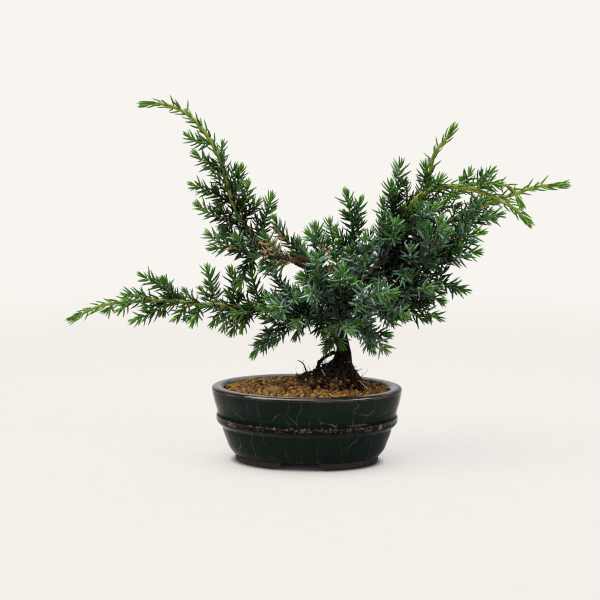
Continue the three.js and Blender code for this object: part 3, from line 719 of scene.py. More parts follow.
@dataclass(frozen=True)
class FlakingBark:
    """Old juniper bark and washed roots: dark red-brown strips that flake, with peat in the cracks."""

    crack: str = "#040302"
    bark: str = "#0d0906"
    flake: str = "#2a1d17"
    dust: str = "#4a3219"
    fresh: str = "#4f3727"
    dust_heights: tuple[float, float] = (0.072, 0.06)  # where dust starts and is thickest, in metres
    torn_heights: tuple[float, float] = (0.135, 0.155)  # where freshly torn bark starts and is commonest

    def material(self) -> bpy.types.Material:
        """Builds the material from strips 1.5 mm wide and 5 mm long on object coordinates."""
        made, add = start_finish("flaking_bark", Roughness=0.85, Specular_IOR_Level=0.15)
        place = add("TexCoord", out="Object")
        height = add("SeparateXYZ", {0: place}, out="Z")
        along = add("Mapping", {"Vector": place, "Scale": (1.0, 1.0, 0.3)})
        strips = add("TexNoise", {"Vector": along, "Scale": 620.0, "Detail": 6.0, "Roughness": 0.62})
        colour = add("ValToRGB", {0: strips}, tones((0.34, self.crack), (0.5, self.bark), (0.68, self.flake)))
        start, end = self.torn_heights
        high = add("MapRange", {"Value": height, "From Min": start, "From Max": end, "To Max": 0.9})
        ragged = add("ValToRGB", {0: strips}, greys((0.36, 0.0), (0.6, 1.0)))
        torn = add("Math", {0: high, 1: ragged}, operation="MULTIPLY")
        fresh = add("Mix", {0: torn, MIX_A: colour, MIX_B: linear(self.fresh)}, **COLOURS)
        lumps = add("TexNoise", {"Vector": place, "Scale": 170.0, "Detail": 3.0})
        dusty = add("ValToRGB", {0: lumps}, greys((0.56, 0.0), (0.7, 1.0)))
        start, end = self.dust_heights
        low = add("MapRange", {"Value": height, "From Min": start, "From Max": end, "To Max": 0.8})
        dust = add("Math", {0: dusty, 1: low}, operation="MULTIPLY")
        mixed = add("Mix", {0: dust, MIX_A: fresh, MIX_B: linear(self.dust)}, **COLOURS)
        bump = add("Bump", {"Strength": 0.9, "Distance": 0.0008, "Height": strips})
        return feed_shader(made, Base_Color=mixed, Normal=bump)


@dataclass(frozen=True)
class BakedClay:
    """Granules of baked volcanic clay: dull ochre, each a little different, dark where peat washes in."""

    pale: str = "#b08542"
    ochre: str = "#785325"
    dark: str = "#38250f"
    peat: str = "#120b06"

    def material(self) -> bpy.types.Material:
        """Builds the material from each grain's tint and peat, which is how dark it is stained."""
        made, add = start_finish("baked_clay", Roughness=0.95)
        tint, peat = (add("Attribute", out="Fac", attribute_name=name) for name in ("tint", "peat"))
        place = add("TexCoord", out="Object")
        grit = add("TexNoise", {"Vector": place, "Scale": 1300.0, "Detail": 5.0, "Roughness": 0.7})
        speck = add("MapRange", {"Value": grit, "To Min": -0.35, "To Max": 0.35})
        varied = add("Math", {0: speck, 1: tint}, operation="ADD", use_clamp=True)
        colour = add("ValToRGB", {0: varied}, tones((0.0, self.dark), (0.45, self.ochre), (1.0, self.pale)))
        stained = add("Mix", {0: peat, MIX_A: colour, MIX_B: linear(self.peat)}, **COLOURS)
        bump = add("Bump", {"Strength": 0.8, "Distance": 0.0004, "Height": grit})
        return feed_shader(made, Base_Color=stained, Normal=bump)


@dataclass(frozen=True)
class DarkGlaze:
    """Stoneware under a thick, glossy, dark green glaze: pale crackle, and bronze on edges, partly where it
    thins and partly as painted highlight.
    """

    green: str = "#0b190f"
    blue: str = "#091513"
    crackle: str = "#7d8a72"
    bronze: str = "#b79f83"
    iron: str = "#080507"
    way_round: float = 0.42  # how far it is round the pot, in metres
    push: Place = (0.021, 0.017, 0.0)  # how far noise pushes the crackle along and up, in metres
    heights: tuple[float, float] = (0.0212, 0.0612)  # what the bands are laid out between, in metres

    def crackled(self, add: Adder, place: bpy.types.NodeSocket, height: bpy.types.NodeSocket,
                 ) -> bpy.types.NodeSocket:
        """Draws the glaze's body: the edges of cells that a slow noise pushes about, broken here and there.

        The cells are about 14 mm across and nearly three times as tall. They are laid out flat round the pot, so
        that no line smears where a cell's wall grazes the surface.

        Args:
            add: adds a node to the material.
            place: object coordinates.
            height: their height.

        Returns:
            The colour.
        """
        cloud = add("TexNoise", {"Vector": place, "Scale": 26.0, "Detail": 3.0})
        body = add("ValToRGB", {0: cloud}, tones((0.35, self.green), (0.65, self.blue)))
        turn = add("SeparateXYZ", {0: add("UVMap", uv_map="UVMap")}, out="X")
        run = add("Math", {0: turn, 1: self.way_round}, operation="MULTIPLY")
        flat = add("CombineXYZ", {0: run, 1: height})
        push = add("TexNoise", {"Vector": flat, "Scale": 50.0, "Detail": 1.5}, out="Color")
        pushed = add("VectorMath", {0: push, 1: (0.5, 0.5, 0.5)}, operation="SUBTRACT")
        shifted = add("VectorMath", {0: pushed, 1: self.push, 2: flat}, operation="MULTIPLY_ADD")
        tall = add("Mapping", {"Vector": shifted, "Scale": (1.0, 0.35, 1.0)})
        edge = add("TexVoronoi", {"Vector": tall, "Scale": 72.0}, out="Distance", voronoi_dimensions="2D",
                   feature="DISTANCE_TO_EDGE")
        line = add("MapRange", {
            "Value": edge, "From Min": 0.004, "From Max": 0.013, "To Min": 1.0, "To Max": 0.0})
        gaps = add("TexNoise", {"Vector": place, "Scale": 90.0, "Detail": 1.0})
        seen = add("ValToRGB", {0: gaps}, greys((0.36, 0.0), (0.7, 1.0)))
        crack = add("Math", {0: line, 1: seen}, operation="MULTIPLY")
        faint = add("Math", {0: crack, 1: 0.38}, operation="MULTIPLY")
        return add("Mix", {0: faint, MIX_A: body, MIX_B: linear(self.crackle)}, **COLOURS)

    def material(self) -> bpy.types.Material:
        """Builds the material. Bronze lies in two bands of height, on the rim's edge and on the raised band:
        partly thinned glaze, partly painted highlight glints.
        """
        made, add = start_finish("dark_glaze", IOR=1.5)
        place = add("TexCoord", out="Object")
        height = add("SeparateXYZ", {0: place}, out="Z")
        cracked = self.crackled(add, place, height)
        wander = add("TexNoise", {"Vector": place, "Scale": 140.0, "Detail": 5.0, "Roughness": 0.65})
        level = add("Math", {0: wander, 1: 0.0012, 2: height}, operation="MULTIPLY_ADD")
        share = add("MapRange", {"Value": level, "From Min": self.heights[0], "From Max": self.heights[1]})
        bands = add("ValToRGB", {0: share}, greys(
            (0.27, 0.0), (0.33, 0.34), (0.38, 0.34), (0.42, 0.0), (0.938, 0.0), (0.943, 0.38), (0.948, 0.38),
            (0.955, 0.0)))
        # The raised band's bronze is broken into flecks, the rim's into stretches, as painted glints over
        # thinned glaze.
        grain = add("TexNoise", {"Vector": place, "Scale": 640.0, "Detail": 3.0})
        broken = add("Math", {0: wander, 1: grain}, operation="MULTIPLY")
        glint_flecks = add("ValToRGB", {0: broken}, greys((0.29, 0.0), (0.38, 1.0)))
        slow = add("TexNoise", {"Vector": place, "Scale": 34.0, "Detail": 1.0})
        glint_stretches = add("MapRange", {
            "Value": slow, "From Min": 0.42, "From Max": 0.62, "To Min": 0.12, "To Max": 1.0})
        above = add("Math", {0: share, 1: 0.6}, operation="GREATER_THAN")
        # worn picks the flecks on the band and the stretches on the rim, which are partly wear and partly
        # painted glint.
        worn = add("Mix", {0: above, 2: glint_flecks, 3: glint_stretches})
        # Where bronze shows is partly thinned glaze and partly painted highlight.
        bronze_glint_share = add("Math", {0: bands, 1: worn}, operation="MULTIPLY")
        rusty = add("ValToRGB", {0: share}, greys(
            (0.24, 0.0), (0.29, 1.0), (0.39, 1.0), (0.44, 0.0), (0.86, 0.0), (0.95, 1.0)))
        dark = add("Mix", {0: rusty, MIX_A: cracked, MIX_B: linear(self.iron)}, **COLOURS)
        colour = add("Mix", {0: bronze_glint_share, MIX_A: dark, MIX_B: linear(self.bronze)}, **COLOURS)
        rough = add("MapRange", {"Value": bronze_glint_share, "To Min": 0.14, "To Max": 0.32})
        shine = add("ValToRGB", {0: share}, greys(
            (0.33, 0.09), (0.39, 0.36), (0.43, 0.09), (0.9, 0.09), (0.96, 0.82)))
        uneven = add("MapRange", {"Value": worn, "To Min": 0.62, "To Max": 1.0})
        gloss = add("Math", {0: shine, 1: uneven}, operation="MULTIPLY")
        ripple = add("TexNoise", {"Vector": place, "Scale": 220.0, "Detail": 2.0})
        bump = add("Bump", {"Strength": 0.12, "Distance": 0.0006, "Height": ripple})
        return feed_shader(made, Base_Color=colour, Roughness=rough, Specular_IOR_Level=gloss, Normal=bump)


@dataclass(frozen=True)
class BareClay:
    """Unglazed stoneware where the pot stood in the kiln: matt dark brown, with fine sand in it."""

    brown: str = "#17120e"
    sand: str = "#372c22"

    def material(self) -> bpy.types.Material:
        """Builds the material from grains of sand about half a millimetre across."""
        made, add = start_finish("bare_clay", Roughness=0.8)
        place = add("TexCoord", out="Object")
        grains = add("TexNoise", {"Vector": place, "Scale": 1600.0, "Detail": 4.0})
        stain = add("TexNoise", {"Vector": place, "Scale": 90.0, "Detail": 3.0})
        both = add("Math", {0: grains, 1: stain}, operation="MULTIPLY")
        colour = add("ValToRGB", {0: both}, tones((0.18, self.brown), (0.42, self.sand)))
        bump = add("Bump", {"Strength": 0.4, "Distance": 0.0003, "Height": grains})
        return feed_shader(made, Base_Color=colour, Normal=bump)


@dataclass(frozen=True)
class SpeckledMatter:
    """Dry odds and ends, such as straw, root hair, grit or plastic: two colours that a fine noise mixes."""

    name: str
    light: str
    dark: str
    scale: float
    roughness: float

    def material(self) -> bpy.types.Material:
        """Builds the material."""
        made, add = start_finish(self.name, Roughness=self.roughness)
        place = add("TexCoord", out="Object")
        grain = add("TexNoise", {"Vector": place, "Scale": self.scale, "Detail": 3.0})
        colour = add("ValToRGB", {0: grain}, tones((0.3, self.dark), (0.7, self.light)))
        bump = add("Bump", {"Strength": 0.3, "Distance": 0.0002, "Height": grain})
        return feed_shader(made, Base_Color=colour, Normal=bump)


# ---------------------------------------------------------------- the pot


def oval(angle: Array, inset: Array) -> Array:
    """Points of the oval that lies `inset` inside the rim's outer edge, measured square to that edge.

    The edge is (a cos t, b sin t), and its outward normal is (b cos t, a sin t) made a unit long.

    Args:
        angle: t, in radians.
        inset: how far in, alike in shape to angle.

    Returns:
        x and y in the last axis.
    """
    a, b = RIM
    edge = np.stack([a * np.cos(angle), b * np.sin(angle)], -1)
    normal = unit(np.stack([b * np.cos(angle), a * np.sin(angle)], -1))
    return edge - normal * np.asarray(inset)[..., None]


@dataclass
class Pot:
    """The oval pot: a turned section with a raised band, two low feet and two drain holes."""

    # Each section is a run of (inset from the rim's outer edge, height).
    outside: tuple[tuple[float, float], ...] = (
        (25.5, 5.6), (19.6, 5.4), (17.3, 6.1), (15.0, 8.8), (13.0, 12.0), (11.1, 17.0), (9.2, 22.2),
        (8.2, 25.6), (7.6, 27.8), (6.0, 29.4), (4.3, 31.2), (3.35, 33.4), (3.2, 35.6), (3.45, 37.3),
        (4.05, 38.7), (4.05, 40.4), (3.5, 42.6), (2.6, 45.6), (1.7, 48.8), (0.95, 52.2), (0.35, 55.0),
        (0.05, 57.0), (0.05, 58.2), (0.6, 59.3), (1.8, 60.0), (3.4, 60.2),
    )
    inside: tuple[tuple[float, float], ...] = (
        (5.4, 60.15), (7.6, 59.7), (9.2, 58.6), (9.9, 56.7), (10.2, 53.2), (11.4, 41), (13.4, 25),
        (15.4, 16.5), (18.4, 11.6), (23, 10), (27, 10),
    )
    foot: tuple[tuple[float, float], ...] = (
        (18.4, 6.0), (18.5, 3.4), (18.9, 1.0), (19.6, 0.15), (20.5, 0.0), (25.5, 0.0), (26.6, 0.3),
        (27.2, 1.2), (27.2, 6.0),
    )
    notch: tuple[float, float] = (14.5, 18.8)  # half the gap between the feet, at its top and bottom
    notch_height: float = 4.6
    drains: tuple[float, float] = (6.0, 26.0)  # a drain hole's radius, and its distance from the middle
    places: int = 200

    def section(self) -> Array:
        """The pot's section as a smooth closed run of (inset, height), from under the middle to over it."""
        corners = np.array([(i, z, 0.0) for i, z in self.outside + self.inside])
        return smooth_path(corners, 0.55)[:, :2]

    def body_surface(self) -> Surface:
        """Turns the section round the oval, with a hand-made unevenness of a few tenths of a millimetre."""
        angle = np.linspace(0, 2 * math.pi, self.places, endpoint=False)
        section = self.section()
        turn, inset = np.meshgrid(angle, section[:, 0])
        flat = oval(turn, inset)
        height = np.broadcast_to(section[:, 1:], turn.shape)
        rings = np.concatenate([flat, height[..., None]], -1)
        wave = value_noise(rings, 17.0, 5) * 0.22 + value_noise(rings, 6.0, 6) * 0.05
        rings = rings + unit(rings * np.array([1.0, 1.0, 0.0])) * wave[..., None]
        return ring_stack(rings, (0, 0, self.outside[0][1]), (0, 0, self.inside[-1][1]))

    def foot_surface(self, side: int) -> Surface:
        """Sweeps the foot's section along one end of the oval, with ends that slope as the notch does.

        The sweep's end angle at height z is where x = notch(z), so that a foot is longer at its top.

        Args:
            side: 1 for the foot at +X, -1 for the other.

        Returns:
            The closed foot, which runs into the pot's underside.
        """
        corners = np.array([(i, z, 0.0) for i, z in self.foot])
        inset, height = smooth_path(corners, 0.5)[:, :2].T
        height = np.maximum(height, 0)
        half = self.notch[0] + (self.notch[1] - self.notch[0]) * np.clip(1 - height / self.notch_height, 0, 1)
        last = np.arccos(half / (RIM[0] - inset * RIM[1] / RIM[0]))
        share = np.sin(np.linspace(-1, 1, 90) * math.pi / 2)[:, None]
        turn = share * last + (0 if side > 0 else math.pi)
        flat = oval(turn, np.broadcast_to(inset, turn.shape))
        rings = np.concatenate([flat, np.broadcast_to(height, turn.shape)[..., None]], -1)
        return ring_stack(rings, rings[0].mean(0), rings[-1].mean(0))

    def build(self) -> None:
        """Makes the pot, bores its drain holes, and adds its feet."""
        glaze, clay = DarkGlaze().material(), BareClay().material()
        body = place_piece("pot_body", self.body_surface(), [glaze, clay], "glaze", "pot")
        radius, apart = self.drains
        pins = []
        for side in (-1, 1):
            path = np.array([(side * apart, 0.0, z) for z in np.linspace(0.5, 15, 6)])
            pins.append(tube(path, np.full(6, radius), 40, 1))
        cutter = add_object("drain_cutter", as_mesh("drain_cutter", Surface.joined(pins)))
        cut = body.modifiers.new("drains", "BOOLEAN")
        cut.object, cut.operation, cut.solver = cutter, "DIFFERENCE", "EXACT"
        bored = finished_mesh(body)
        body.modifiers.remove(cut)
        body.data = bored
        bpy.data.objects.remove(cutter)
        feet = Surface.joined([self.foot_surface(side) for side in (-1, 1)])
        place_piece("pot_feet", feet, [clay], "glaze", "pot")
        plastic = SpeckledMatter("drain_plastic", "#2a2a2a", "#151515", 700.0, 0.5).material()
        for name in ("drain_mesh_left", "drain_mesh_right"):
            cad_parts[name].data.materials.clear()
            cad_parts[name].data.materials.append(plastic)


# ---------------------------------------------------------------- the soil


@dataclass
class Soil:
    """Baked clay granules, almost level with the rim and heaped against the roots, with one big lump."""

    level: float = 57.2
    crown: float = 2.4
    heap: tuple[float, ...] = (-4.0, 3.0, 7.6, 15.0)  # x and y in the tree's frame, height, spread
    clod: Place = (-25.0, -24.0, 58.8)
    clod_size: Place = (6.2, 4.8, 3.8)  # half of its length, width and height
    wall: float = 10.4  # inset of the soil's edge from the rim's outer edge
    underside: float = 11.3
    pitch: float = 3.15  # between grains
    seed: int = 21

    def height(self, x: Array, y: Array) -> Array:
        """Height of the soil: level, a crown that falls as the distance squared, and a bell-shaped heap."""
        crown = self.crown * (1 - (x / RIM[0]) ** 2 - (y / RIM[1]) ** 2)
        middle = turn_tree([*self.heap[:2], 0.0])
        away = np.hypot(x - middle[0], (y - middle[1]) * 1.15) / self.heap[3]
        return self.level + crown + self.heap[2] * np.exp(-away**2)

    def bed(self) -> Surface:
        """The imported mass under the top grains: rings from below, up the wall and in to the middle."""
        angle = np.linspace(0, 2 * math.pi, 150, endpoint=False)
        share = np.linspace(0.04, 1, 46)[::-1]
        edge = oval(angle, np.full(angle.shape, self.wall))
        top = edge[None] * share[:, None, None]
        high = self.height(top[..., 0], top[..., 1]) - 1.0
        flat = np.concatenate([top, high[..., None]], -1)
        flat[..., 2] += value_noise(flat * np.array([1, 1, 0]), 2.2, 3) * 0.6
        down = [(25, self.underside), (18.8, 12.6), (15.8, 17), (13.9, 25), (11.9, 41), (10.7, 52)]
        walls = [np.concatenate([oval(angle, np.full(angle.shape, inset)), np.full((len(angle), 1), z)], -1)
                 for inset, z in down]
        rings = np.concatenate([np.array(walls), flat])
        # The bed shows only between the grains, and is set darker than they are.
        marks = {"tint": np.full(len(rings), 0.25), "peat": np.full(len(rings), 0.6)}
        middle = float(self.height(0.0, 0.0)) - 1
        return ring_stack(rings, (0, 0, self.underside), (0, 0, middle), 0, marks)

    def grains(self) -> Surface:
        """Scatters uneven grains on a jittered lattice, with some more on top, tinted one by one."""
        draw = np.random.default_rng(self.seed)
        across = np.arange(-RIM[0], RIM[0], self.pitch)
        x, y = np.meshgrid(across, np.arange(-RIM[1], RIM[1], self.pitch * 0.87))
        x = x + (np.arange(len(x)) % 2)[:, None] * self.pitch / 2
        places = np.stack([x.ravel(), y.ravel()], -1)
        places = np.vstack([places, places[draw.random(len(places)) < 0.3]])
        places = places + draw.uniform(-0.5, 0.5, places.shape) * self.pitch
        size = 1.2 + 1.2 * draw.random(len(places)) ** 1.6
        long, wide = (half - self.wall - size for half in RIM)
        reach = np.hypot(places[:, 0] / long, places[:, 1] / wide)
        places, size = places[reach < 1], size[reach < 1]
        count = len(places)
        bottom = self.height(places[:, 0], places[:, 1]) + draw.uniform(-1.2, 0.5, count)
        centres = np.concatenate([places, bottom[:, None]], -1)
        even, grains = Pebble(rough=(0.68, 1.24), squash=(0.62, 1.18), turned=True).scatter(draw, size)
        stain = self.stain(centres)
        marks = {"tint": np.clip(draw.normal(0.5, 0.24, count), 0, 1),
                 "peat": np.clip(stain * draw.uniform(0.5, 1.3, count), 0, 0.95)}
        return repeated(grains + centres[:, None], even, marks)

    def stain(self, points: Array) -> Array:
        """How much peat stains the soil: it fades with the distance from the line of the roots."""
        ends = turn_tree([(3.0, -3.0, 0.0), (40.0, -3.0, 0.0)])[:, :2]
        step = ends[1] - ends[0]
        share = np.clip(((points[:, :2] - ends[0]) @ step) / (step @ step), 0, 1)
        away = np.linalg.norm(points[:, :2] - ends[0] - share[:, None] * step, axis=1)
        return 0.65 * (1 - smooth_step(away, 5.0, 15.0))

    def lump(self) -> Surface:
        """The one big clod: an ellipsoid with a noise of half a millimetre on it."""
        lump = ball(np.linspace(-1.45, 1.45, 18), 28)
        lump = lump * (1 + 0.1 * value_noise(lump, 0.45, 9) + 0.04 * value_noise(lump, 0.16, 10))[..., None]
        middle, tall = turn_tree(self.clod), np.array([0, 0, self.clod_size[2]])
        marks = {"tint": np.full(len(lump), 0.62), "peat": np.full(len(lump), 0.22)}
        return ring_stack(lump * np.array(self.clod_size) + middle, middle - tall, middle + tall, 0, marks)

    def build(self) -> None:
        """Makes the bed and the grains."""
        clay = BakedClay().material()
        place_piece("soil_bed", self.bed(), [clay], "soil", "soil")
        top = Surface.joined([self.grains(), self.lump()])
        place_piece("soil_grains", top, [clay], "soil", "soil")


# ---------------------------------------------------------------- the wood


@dataclass
class Wood:
    """Trunk, boughs and roots, grown into one, with the rootlets, hairs and grit that cling to the roots."""

    voxel: float = 0.75  # the skin's faces
    live_roots: int = 240
    root_hairs: int = 130
    grits: int = 22
    small_crumbs: int = 520
    big_crumbs: int = 150
    seed: int = 5

    def limb(self, route: list, radii: list[float], sides: int) -> Surface:
        """Carries a lumpy section along a limb: the radius is read from its table and varied by a noise."""
        path = smooth_path(turn_tree(route), 1.5)
        share = np.linspace(0, len(radii) - 1, len(path))
        radius = np.interp(share, np.arange(len(radii)), radii)
        angle = round_turn(sides)[None]
        up = np.arange(len(path))[:, None] * 0.16
        ribs = np.stack(np.broadcast_arrays(np.cos(angle) * 2, np.sin(angle) * 2, up), -1)
        shape = 1 + 0.13 * value_noise(ribs, 1.1, int(radius[0] * 10) + len(path))
        return tube(path, radius, sides, 0, None, shape)

    def body(self) -> bpy.types.Mesh:
        """Grows the limbs into one skin of small even faces, and raises flakes and fibres on it.

        Returns:
            The mesh, in the part's frame.
        """
        limbs = [self.limb(*TRUNK, 40)]
        limbs += [self.limb(*root, 26) for root in ROOTS] + [self.limb(*bough, 22) for bough in BOUGHS]
        rough = add_object("rough_wood", as_mesh("rough_wood", Surface.joined(limbs)))
        skin = rough.modifiers.new("skin", "REMESH")
        skin.mode, skin.voxel_size = "VOXEL", self.voxel * MM
        soft = rough.modifiers.new("soft", "SMOOTH")
        soft.factor, soft.iterations = 0.5, 3
        mesh = finished_mesh(rough)
        bpy.data.objects.remove(rough)
        points, normals = read_mesh(mesh)
        at = (points - POT_MIDDLE) / MM
        low = 1 - smooth_step(at[:, 2], 70.0, 90.0)
        rise = value_noise(at * np.array([1, 1, 0.3]), 1.5, 11) * 0.3 + (
            value_noise(at, 4.2, 12) * 0.8 + value_noise(at, 1.6, 13) * 0.4) * low
        points = points + normals * (rise * MM)[:, None]
        mesh.vertices.foreach_set("co", points.astype(np.float32).ravel())
        mesh.polygons.foreach_set("use_smooth", np.ones(len(mesh.polygons), bool))
        mesh.update()
        return mesh

    def rootlets(self, skin: Array, outward: Array) -> Surface:
        """Lets fine roots creep over the root mass: each step goes down and out, and is drawn to the skin.

        Args:
            skin: points of the wood's skin, in millimetres.
            outward: its normals.

        Returns:
            The rootlets as thin tubes.
        """
        draw = np.random.default_rng(self.seed)
        near = (skin[:, 2] > 56) & (skin[:, 2] < 84)
        skin, outward = skin[near], outward[near]
        count = self.live_roots
        starts = draw.choice(len(skin), count)
        spot, heading = skin[starts], draw.normal(size=(count, 3)) * 0.5
        trunk = turn_tree([29.0, 0.0, 0.0])
        paths = [spot]
        for _ in range(9):
            away = unit((spot - trunk) * np.array([1, 1, 0]))
            heading = unit(heading + away * 0.5 - np.array([0, 0, 0.55]) + draw.normal(size=(count, 3)) * 0.5)
            spot = spot + heading * 1.7
            gap = np.linalg.norm(spot[:, None] - skin[None], axis=2)
            closest = gap.argmin(axis=1)
            hold = (gap.min(axis=1) < 5)[:, None]
            spot = np.where(hold, spot * 0.25 + (skin[closest] + outward[closest] * 0.25) * 0.75, spot)
            paths.append(spot)
        routes = np.stack(paths, 1)
        thick = draw.uniform(0.2, 0.6, count)
        live = [self.strand(route, 1.0, radius, 0.4 * radius) for route, radius in zip(routes, thick)]
        dead = [self.strand(turn_tree(route), 1.0, radius, 0.4 * radius) for route, radius in DEAD_TWIG]
        return Surface.joined(live + dead)

    @staticmethod
    def strand(route: Array, spacing: float, start: float, end: float) -> Surface:
        """Carries a six-sided section along a smoothed route, from one radius to another."""
        path = smooth_path(route, spacing)
        return tube(path, np.linspace(start, end, len(path)), 6)

    def hairs(self, skin: Array) -> Surface:
        """Curls root hairs out of the root mass: each is an arc that bends, thinner than a rootlet."""
        draw = np.random.default_rng(self.seed + 1)
        near = skin[(skin[:, 2] > 60) & (skin[:, 2] < 80)]
        trunk = turn_tree([18.0, 0.0, 66.0])
        made = []
        for start in near[draw.choice(len(near), self.root_hairs)]:
            out = unit(start - trunk + draw.normal(size=3) * 4)
            side = unit(np.cross(out, draw.normal(size=3)))
            t = np.linspace(0, 1, 14)[:, None]
            reach, curl = draw.uniform(4, 11), draw.uniform(0.6, 2.6)
            path = start + reach * (out * np.sin(curl * t) / curl + side * (1 - np.cos(curl * t)) / curl)
            path = path + np.array([0, 0, 1]) * t * reach * draw.uniform(-0.1, 0.35)
            made.append(tube(path, np.linspace(0.2, 0.09, 14), 4))
        return Surface.joined(made)

    def specks(self, skin: Array, outward: Array) -> Surface:
        """Sets pale grit on the root mass: small uneven grains, half sunk."""
        draw = np.random.default_rng(self.seed + 2)
        near = np.flatnonzero((skin[:, 2] > 58) & (skin[:, 2] < 82))
        picked = draw.choice(near, self.grits)
        even, grit = Pebble(rises=(-50, 0, 50)).scatter(draw, draw.uniform(0.4, 0.85, len(picked)))
        return repeated(grit + (skin[picked] + outward[picked] * 0.3)[:, None], even, {})

    def crumbs(self, skin: Array, outward: Array) -> Surface:
        """Clings peat and clay crumbs to the root mass, darker the higher they are, with big ones in front."""
        draw = np.random.default_rng(self.seed + 3)
        high = skin[:, 2]
        near = np.flatnonzero((high > 57) & (high < 76 + draw.normal(0, 3, len(skin))) & (skin[:, 0] > -4))
        across = skin[:, 0] * math.cos(TREE_TURN) + skin[:, 1] * math.sin(TREE_TURN)
        low = (high > 58) & (high < 68)
        front = np.flatnonzero((outward[:, 1] < 0.1) & low & (across > -8) & (across < 34))
        small, big = self.small_crumbs, self.big_crumbs
        picked = np.concatenate([draw.choice(near, small), draw.choice(front, big)])
        count = small + big
        size = np.concatenate([0.45 + 1.3 * draw.random(small) ** 3, draw.uniform(0.9, 2.3, big)])
        even, crumbs = Pebble(squash=(0.7, 1.15)).scatter(draw, size)
        centres = skin[picked] + outward[picked] * size[:, None] * 0.3
        clean = draw.random(count) * (1 - smooth_step(high[picked], 60.0, 72.0))
        clean[small:] = draw.uniform(0.35, 1.0, big) * (1 - smooth_step(high[picked[small:]], 63.0, 70.0))
        marks = {"tint": draw.uniform(0.1, 0.8, count), "peat": np.clip(1.1 - 1.3 * clean, 0.05, 0.97)}
        return repeated(crumbs + centres[:, None], even, marks)

    def build(self) -> None:
        """Makes the wood and what clings to it."""
        bark = FlakingBark().material()
        mesh = self.body()
        place_piece("wood", mesh, [bark], "bark", "trunk_and_roots")
        points, outward = read_mesh(mesh)
        skin = (points - POT_MIDDLE) / MM
        fibre = SpeckledMatter("root_fibre", "#4a3220", "#140d08", 800.0, 0.85).material()
        place_piece("rootlets", self.rootlets(skin, outward), [fibre], "bark", "trunk_and_roots")
        place_piece("root_hairs", self.hairs(skin), [fibre], "bark", "trunk_and_roots")
        clay = bpy.data.materials["baked_clay"]
        place_piece("peat_crumbs", self.crumbs(skin, outward), [clay], "soil", "trunk_and_roots")
        grit = SpeckledMatter("white_grit", "#e0d3b8", "#b59f78", 1500.0, 0.9).material()
        place_piece("grit", self.specks(skin, outward), [grit], "soil", "trunk_and_roots")
        straw = SpeckledMatter("straw", "#c8ad86", "#8e7048", 700.0, 0.7).material()
        litter = [self.strand(turn_tree(route), 1.2, radius, radius) for route, radius in STRAWS]
        place_piece("straws", Surface.joined(litter), [straw], "soil", "soil")


# ---------------------------------------------------------------- the foliage


class Habit(Enum):
    """How a spray grows: its twigs' spacing and length, the stem's end without any, and the whorls' spacing."""

    CROWN = (6.0, 20.0, 12.0, 3.9)
    WHIP = (6.5, 17.0, 76.0, 5.4)
    SIDE = (9.0, 9.5, 10.0, 2.8)
    TWIG = (99.0, 0.0, 0.0, 3.4)


